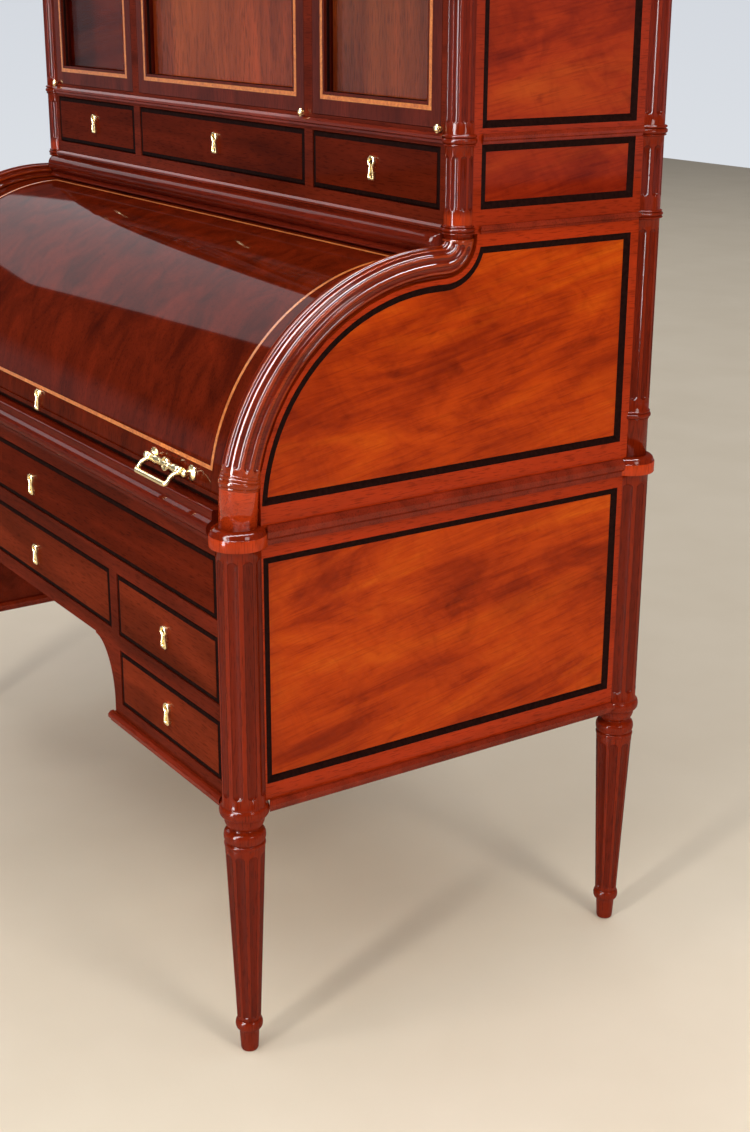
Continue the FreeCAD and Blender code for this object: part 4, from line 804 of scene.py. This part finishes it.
ROSETTE = [(0.0, -0.6), (10.4, -0.6), (10.6, 0.8), (10.0, 1.8), (8.6, 2.0), (7.8, 2.9), (6.0, 3.5),
           (5.0, 5.0), (4.6, 7.4), (4.8, 9.4), (5.5, 10.8), (5.6, 12.4), (4.9, 14.0), (3.4, 15.2),
           (1.4, 15.8), (0.0, 15.9)]
BUTTON = [(0.0, 3.4), (4.4, 3.6), (6.8, 5.6), (8.6, 8.6), (9.4, 11.6), (9.3, 13.4), (8.3, 14.0),
          (7.2, 13.2), (5.4, 12.0), (2.8, 11.4), (1.5, 12.0), (0.0, 12.3)]
EYE = [(3.25, -3.4), (5.2, -3.4), (5.9, -1.9), (6.0, 0.0), (5.9, 1.9), (5.2, 3.4), (3.25, 3.4)]


def round_ring(middle, side, up, radius, sides):
    """Points of a circle about a middle, in the plane of two directions."""
    turns = [2 * math.pi * step / sides for step in range(sides)]
    return [middle + (side * math.cos(t) + up * math.sin(t)) * radius for t in turns]


def lathe(mesh, outline, foot, axis, closed=False, sides=24):
    """Adds a form turned about an axis through a foot, its outline as (radius, distance) in millimetres."""
    axis = Vector(axis).normalized()
    side = axis.orthogonal().normalized()
    up = axis.cross(side)
    rings = [round_ring(Vector(foot) + axis * along * MM, side, up, radius * MM, sides)
             for radius, along in outline]
    bridge(mesh, rings + rings[:1] if closed else rings, False)
    bmesh.ops.remove_doubles(mesh, verts=mesh.verts[:], dist=1e-6)


def handle_spot(sign):
    reach = HANDLE_REACH * MM
    return Vector((sign * HANDLE_X * MM, PIVOT_Y - reach * math.cos(HANDLE_ANGLE),
                   PIVOT_Z + reach * math.sin(HANDLE_ANGLE)))


def handle_mounts():
    """Both turned rods with their rosettes and centre buttons, in place of the plain CAD mounts."""
    outward = Vector((0, -math.cos(HANDLE_ANGLE), math.sin(HANDLE_ANGLE)))
    across = Vector((1, 0, 0))
    mesh = bmesh.new()
    for sign in (1, -1):
        spot = handle_spot(sign)
        lathe(mesh, ROD + [(radius, -along) for radius, along in ROD[-2::-1]], spot, across)
        face = spot - outward * HANDLE_STAND * MM
        for end in (HANDLE_HALF, -HANDLE_HALF):
            lathe(mesh, ROSETTE, face + across * end * MM, outward)
        lathe(mesh, BUTTON, face, outward)
    obj = piece("handle_turnings", mesh, "brass", "cylinder", smooth=True)
    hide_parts("handle_mounts")


def bail_path():
    """Bent bar of a bail from one eye to the other as (across, out, rise), bowed up along its arms."""
    half = []
    for step in range(ARM_STEPS):
        share = step / ARM_STEPS
        out = ARM_START + (BAIL_REACH - BAIL_CORNER - ARM_START) * share
        half.append((BAIL_HALF, out, ARM_BOW * math.sin(math.pi * share)))
    for step in range(CORNER_STEPS + 1):
        turn = math.pi / 2 * step / CORNER_STEPS
        out = BAIL_REACH - BAIL_CORNER * (1 - math.sin(turn))
        half.append((BAIL_HALF - BAIL_CORNER * (1 - math.cos(turn)), out, 0.0))
    half += [(across, BAIL_REACH, 0.0) for across in (30.0, 20.0, 10.0, 0.0)]
    return half + [(-across, out, rise) for across, out, rise in half[-2::-1]]


def bail(side, sign):
    """Swept bail with its two eyes, in place of the squared CAD loop."""
    spot = handle_spot(sign)
    across = Vector((1, 0, 0))
    out = Vector((0, -math.cos(BAIL_DROOP), -math.sin(BAIL_DROOP)))
    normal = across.cross(out)
    spine = [spot + (across * x + out * reach - normal * rise) * MM for x, reach, rise in bail_path()]
    rings = []
    for place, middle in enumerate(spine):
        ahead = (spine[min(len(spine) - 1, place + 1)] - spine[max(0, place - 1)]).normalized()
        aside = normal.cross(ahead).normalized()
        rings.append(round_ring(middle, aside, ahead.cross(aside), BAIL_RADIUS * MM, BAIL_SIDES))
    mesh = bmesh.new()
    bridge(mesh, rings, True)
    for end in (BAIL_HALF, -BAIL_HALF):
        lathe(mesh, EYE, spot + across * end * MM, across, closed=True)
    body = "bail_" + side
    obj = piece(body + "_bar", mesh, "brass", body, smooth=True)
    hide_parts(body)


# Brass finials of the door hinges: places in millimetres, and the outline of one
HINGE_X = (598, -598, 265)
HINGE_Y = -10
HINGE_Z = (1226.5, 1985)
HINGE_BALL = [(0.0, -5.8), (1.6, -5.6), (2.5, -4.8), (2.2, -4.2), (3.4, -3.4), (4.2, -2.0), (4.5, 0.0),
              (4.2, 2.0), (3.4, 3.4), (2.2, 4.2), (2.5, 4.8), (1.6, 5.6), (0.0, 5.8)]


def hinge_balls():
    """Brass finials over the barrels of the door hinges."""
    mesh = bmesh.new()
    for x in HINGE_X:
        for z in HINGE_Z:
            lathe(mesh, HINGE_BALL, (x * MM, HINGE_Y * MM, z * MM), (0, 0, 1), sides=20)
    piece("hinge_balls", mesh, "brass", "carcass", smooth=True)


# Ebony bands in the rebates of the drawer fronts, each with a sloped outer edge
BAND_WIDTH = 7 * MM
BAND_DEPTH = 1.5 * MM
BAND_SINK = 0.5 * MM
BAND_SLOPE = 2.0 * MM
BAND_EDGE = 0.1


def drawer_band(drawer):
    low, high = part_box(drawer + "_front")
    floor_plane = low[1] + BAND_DEPTH
    crown = BAND_DEPTH - BAND_SINK
    profile = [(0, 0), (0, crown * BAND_EDGE), (BAND_SLOPE, crown), (BAND_WIDTH, crown), (BAND_WIDTH, 0)]
    corners = ((low[0], low[2]), (high[0], high[2]))
    picture_frame(drawer + "_band", *corners, floor_plane, profile, "ebony", drawer)


# Keyhole-shaped brass escutcheons: a thick rim with a round head and a flared tail, about a dark plug that
# stands as painted shade for the keyhole
HEAD_RADIUS = 8.0
HEAD_RISE = 8.0
TAIL_TOP = 4.5
TAIL_BOTTOM = 7.6
TAIL_DROP = 17.0
TAIL_CORNER = 0.3
HEAD_STEPS = 24
KEYHOLE_SHADE_RINGS = ((3.3, -0.4), (3.3, 0.6), (3.6, 0.4))
RIM = ((0.0, -0.5), (0.0, 3.6), (0.3, 4.6), (1.1, 5.3), (2.0, 5.4), (2.8, 5.1), (3.3, 4.4), (3.4, 0.6))


def keyhole_outline(inset):
    """Points of the keyhole shape, drawn in by an inset, in millimetres in the plane of a front."""
    head, tail_top = HEAD_RADIUS - inset, TAIL_TOP - inset
    tail, drop = TAIL_BOTTOM - inset, TAIL_DROP - inset
    neck = math.asin(tail_top / head)
    points = []
    for step in range(HEAD_STEPS + 1):
        turn = neck - math.pi / 2 + 2 * (math.pi - neck) * step / HEAD_STEPS
        points.append((head * math.cos(turn), HEAD_RISE + head * math.sin(turn)))
    corner = tail * TAIL_CORNER
    left = [(-tail, corner - drop), (corner - tail, -drop)]
    return points + left + [(-x, z) for x, z in reversed(left)]


def escutcheon(name, centre, outward, body):
    """Brass rim standing out from a front, and a dark ebony plug inside it as painted shade for the keyhole.
    """
    out = Vector(outward).normalized()
    side = Vector((1, 0, 0))
    up = side.cross(-out)

    def ring(inset, height):
        return [Vector(centre) + (side * x + up * z + out * height) * MM for x, z in keyhole_outline(inset)]

    rim = bmesh.new()
    bridge(rim, [ring(*place) for place in RIM], False)
    piece(name, rim, "brass", body, smooth=True)
    # The keyhole is not cut; a closed dark plug stands in for the shade inside it
    keyhole_shade_plug = bmesh.new()
    bridge(keyhole_shade_plug, [ring(*place) for place in KEYHOLE_SHADE_RINGS], True)
    piece(name + "_keyhole_shade", keyhole_shade_plug, "ebony", body)


def drawer_escutcheon(drawer, x, z):
    low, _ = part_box(drawer + "_front")
    escutcheon(drawer + "_escutcheon", (x, low[1], z), (0, -1, 0), drawer)


def on_cylinder(x, angle, lift=0.0):
    """A point on the cylinder's outside, by its place along the desk and its angle above level."""
    reach = CYLINDER_RADIUS + lift
    turn = math.radians(angle)
    return (x, PIVOT_Y - reach * math.cos(turn), PIVOT_Z + reach * math.sin(turn))


# Satinwood lines on the cylinder, and the ebony band along its lower edge; angles in degrees
LINE_WIDTH = 5.2 * MM
LINE_LIFT = 0.25 * MM
LINE_SIDE = 545 * MM
LINE_LOW = 8.9
LINE_HIGH = 88.0
EDGE_HALF = 594 * MM
EDGE_ANGLES = (1.6, 2.5)
EDGE_LIFT = 3.2 * MM


def curved_strip(name, x, angles, lift, material, steps):
    """A thin inlaid strip that follows the cylinder between two places and two angles."""
    mesh = bmesh.new()
    loops = []
    for step in range(steps + 1):
        angle = angles[0] + (angles[1] - angles[0]) * step / steps
        loops.append([on_cylinder(x[0], angle, -lift), on_cylinder(x[1], angle, -lift),
                      on_cylinder(x[1], angle, lift), on_cylinder(x[0], angle, lift)])
    bridge(mesh, loops, True)
    piece(name, mesh, material, "cylinder")


def cylinder_lines():
    wide = math.degrees(LINE_WIDTH / CYLINDER_RADIUS)
    outer = LINE_SIDE + LINE_WIDTH
    for name, angle in (("low", LINE_LOW), ("high", LINE_HIGH)):
        strip = "cylinder_line_" + name
        curved_strip(strip, (-outer, outer), (angle, angle + wide), LINE_LIFT, "satinwood", steps=2)
    for name, sign in (("right", 1), ("left", -1)):
        strip = "cylinder_line_" + name
        x = sorted((sign * LINE_SIDE, sign * outer))
        curved_strip(strip, x, (LINE_LOW + wide, LINE_HIGH), LINE_LIFT, "satinwood", steps=64)
    curved_strip("cylinder_edge_band", (-EDGE_HALF, EDGE_HALF), EDGE_ANGLES, EDGE_LIFT, "ebony", steps=2)


# Satinwood line and ebony sight moulding on each door
DOOR_LINE_INSET = 20.6 * MM
DOOR_LINE_WIDTH = 6.2 * MM
DOOR_LINE_LIFT = 0.25 * MM
DOOR_STILE = 31 * MM
SIGHT_WIDTH = 4 * MM
SIGHT_INNER = DOOR_STILE + 0.6 * MM
SIGHT_OUTER = DOOR_STILE - 0.2 * MM
SIGHT_SLOPE = 5 * MM
SIGHT_DEPTH = 9 * MM
SIGHT_STEP = 3 * MM


def door_lines(door):
    low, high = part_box(door + "_frame")
    corners = ((low[0], low[2]), (high[0], high[2]))
    lift = DOOR_LINE_LIFT
    start = DOOR_LINE_INSET
    end = start + DOOR_LINE_WIDTH
    flat = [(start, -lift), (start, lift), (end, lift), (end, -lift)]
    picture_frame(door + "_line", *corners, low[1], flat, "satinwood", door)
    edge = DOOR_STILE - SIGHT_WIDTH
    slope = [(edge, -lift), (edge, lift), (SIGHT_INNER, -SIGHT_SLOPE), (SIGHT_INNER, -SIGHT_DEPTH),
             (SIGHT_OUTER, -SIGHT_DEPTH), (SIGHT_OUTER, -SIGHT_STEP)]
    picture_frame(door + "_sight", *corners, low[1], slope, "ebony", door)


# Leather on the writing slide: margins of bare wood round it, thickness, edge and its tooled line
LEATHER_SIDE = 62 * MM
LEATHER_FRONT = 34 * MM
LEATHER_BACK = 60 * MM
LEATHER_THICK = 0.9 * MM
LEATHER_EDGE = 1.2 * MM
LEATHER_SHOULDER = 0.6
TOOL_INSET = 18 * MM
TOOL_WIDTH = 2 * MM
TOOL_LIFT = 0.1 * MM


def writing_leather():
    """Leather on the writing slide, with a tooled gilt line."""
    low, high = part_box("slide_board")
    front, back = low[1] + LEATHER_FRONT, high[1] - LEATHER_BACK
    foot = high[2]
    top = foot + LEATHER_THICK

    def flat_ring(inset, z):
        x0, x1 = low[0] + LEATHER_SIDE + inset, high[0] - LEATHER_SIDE - inset
        y0, y1 = front + inset, back - inset
        return [(x0, y0, z), (x1, y0, z), (x1, y1, z), (x0, y1, z)]

    mesh = bmesh.new()
    shoulder = foot + LEATHER_THICK * LEATHER_SHOULDER
    bridge(mesh, [flat_ring(0, foot), flat_ring(0, shoulder), flat_ring(LEATHER_EDGE, top)], True)
    piece("writing_leather", mesh, "leather", "slide")
    mesh = bmesh.new()
    outer, inner = TOOL_INSET, TOOL_INSET + TOOL_WIDTH
    loops = [flat_ring(outer, top - TOOL_LIFT), flat_ring(outer, top + TOOL_LIFT),
             flat_ring(inner, top + TOOL_LIFT), flat_ring(inner, top - TOOL_LIFT)]
    bridge(mesh, loops + loops[:1], False)
    bmesh.ops.remove_doubles(mesh, verts=mesh.verts[:], dist=1e-7)
    piece("leather_tooling", mesh, "brass", "slide")


# Middle of each drawer's escutcheon as (x, height) in millimetres, and the angle of the cylinder's lock
ESCUTCHEONS = {"frieze_drawer": (0, 666), "knee_drawer": (0, 552),
               "upper_drawer_right": (443, 557), "upper_drawer_left": (-443, 557),
               "lower_drawer_right": (443, 443), "lower_drawer_left": (-443, 443),
               "cabinet_drawer_left": (-443, 1165), "cabinet_drawer_centre": (0, 1165),
               "cabinet_drawer_right": (443, 1165)}
LOCK_ANGLE = 5.7


def cylinder_escutcheon():
    turn = math.radians(LOCK_ANGLE)
    outward = (0, -math.cos(turn), math.sin(turn))
    escutcheon("cylinder_escutcheon", on_cylinder(0, LOCK_ANGLE), outward, "cylinder")


posts()
scroll_mouldings()
top_roll()
back_fillets()
handle_mounts()
bail("right", 1)
bail("left", -1)
hinge_balls()
for drawer in DRAWERS:
    drawer_band(drawer)
for drawer, (x, z) in ESCUTCHEONS.items():
    drawer_escutcheon(drawer, x * MM, z * MM)
cylinder_escutcheon()
cylinder_lines()
for door in DOORS:
    door_lines(door)
writing_leather()


FLOOR_HALF = 9.0


def floor():
    """Plain pale floor."""
    graph = Graph("studio_floor")
    speck = graph.noise(graph.coords, scale=3.0, detail=3.0)
    tone = graph.ramp(speck, [(0.3, (0.72, 0.62, 0.48)), (0.7, (0.76, 0.66, 0.52))])
    graph.set(Base_Color=tone, Roughness=0.6, Specular_IOR_Level=0.2)
    mesh = bmesh.new()
    half = FLOOR_HALF
    corners = [(-half, -half), (half, -half), (half, half), (-half, half)]
    mesh.faces.new([mesh.verts.new((x, y, 0)) for x, y in corners])
    data = bpy.data.meshes.new("floor")
    mesh.to_mesh(data)
    mesh.free()
    data.materials.append(graph.material)
    ground = bpy.data.objects.new("floor", data)
    bpy.context.collection.objects.link(ground)


# Lamps: place, target and size in metres, power in watts, colour, and the rays that don't see them
WHITE = (1, 1, 1)
DAYLIGHT = (0.93, 0.96, 1.0)
WARM = (1.0, 0.97, 0.93)
LAMPS = (
    ("ceiling_light", (0, 1.0, 6.0), (0, 1.0, 0), (15, 15), 620, WHITE, "glossy"),
    ("left_window", (-4.5, 0.5, 3.5), (0.0, 0.5, 1.0), (4.2, 2.0), 95, DAYLIGHT, "diffuse"),
    ("ceiling_strip", (0.9, -0.8, 3.7), (0.9, -0.8, 0.0), (0.8, 5.0), 640, WHITE, "diffuse"),
    ("front_strip", (0.9, -3.7, 1.9), (0.9, 0.0, 1.0), (0.8, 3.6), 420, WHITE, "diffuse"),
    ("top_lamp", (0.35, -1.7, 3.4), (0.5, -0.2, 1.0), (0.4, 0.9), 16, WHITE, None),
    ("right_lamp", (3.7, 0.25, 2.3), (0.5, 0.0, 0.75), (1.0, 1.0), 52, WARM, None),
    ("front_lamp", (1.7, -3.3, 2.3), (0.1, 0.0, 0.75), (0.25, 2.4), 52, WARM, None),
)

# Surroundings from below the horizon up: dim, a pale band, dim again
HORIZON = ((0.40, (0.20, 0.20, 0.20)), (0.44, (0.72, 0.75, 0.79)), (0.50, (0.66, 0.69, 0.74)),
           (0.545, (0.14, 0.145, 0.155)))


def softbox(name, place, target, size, power, colour, unseen_by):
    lamp = bpy.data.lights.new(name, "AREA")
    lamp.shape = "RECTANGLE"
    lamp.size, lamp.size_y = size
    lamp.energy = power
    lamp.color = colour
    obj = bpy.data.objects.new(name, lamp)
    obj.location = place
    aim = Vector(target) - Vector(place)
    obj.rotation_euler = aim.to_track_quat("-Z", "Y").to_euler()
    obj.visible_glossy = unseen_by != "glossy"
    obj.visible_diffuse = unseen_by != "diffuse"
    bpy.context.collection.objects.link(obj)


def studio():
    """Dim surroundings with a pale band at the horizon, and all the lamps."""
    world = bpy.data.worlds.new("studio")
    world.use_nodes = True
    tree = world.node_tree
    coords = tree.nodes.new("ShaderNodeTexCoord")
    split = tree.nodes.new("ShaderNodeSeparateXYZ")
    tree.links.new(coords.outputs["Generated"], split.inputs["Vector"])
    shift = tree.nodes.new("ShaderNodeMapRange")
    shift.inputs["From Min"].default_value = -1.0
    tree.links.new(split.outputs["Z"], shift.inputs["Value"])
    ramp = tree.nodes.new("ShaderNodeValToRGB")
    set_stops(ramp.color_ramp, HORIZON)
    tree.links.new(shift.outputs["Result"], ramp.inputs["Fac"])
    tree.links.new(ramp.outputs["Color"], tree.nodes["Background"].inputs["Color"])
    bpy.context.scene.world = world
    for lamp in LAMPS:
        softbox(*lamp)


def photo_camera():
    yaw, pitch, roll = (math.radians(a) for a in (CAMERA_YAW, CAMERA_PITCH, CAMERA_ROLL))
    ahead = Vector((math.sin(yaw) * math.cos(pitch), math.cos(yaw) * math.cos(pitch), math.sin(pitch)))
    level = Vector((math.cos(yaw), -math.sin(yaw), 0))
    up = level.cross(ahead)
    right = level * math.cos(roll) + up * math.sin(roll)
    top = up * math.cos(roll) - level * math.sin(roll)
    camera = bpy.data.cameras.new("photo_camera")
    camera.sensor_fit = "AUTO"
    camera.sensor_width = CAMERA_SENSOR
    camera.lens = CAMERA_LENS
    obj = bpy.data.objects.new("photo_camera", camera)
    turn = Matrix((right, top, -ahead)).transposed().to_4x4()
    obj.matrix_world = Matrix.Translation(CAMERA_PLACE) @ turn
    bpy.context.collection.objects.link(obj)
    bpy.context.scene.camera = obj


floor()
studio()
photo_camera()
bpy.context.scene.view_settings.view_transform = "Standard"
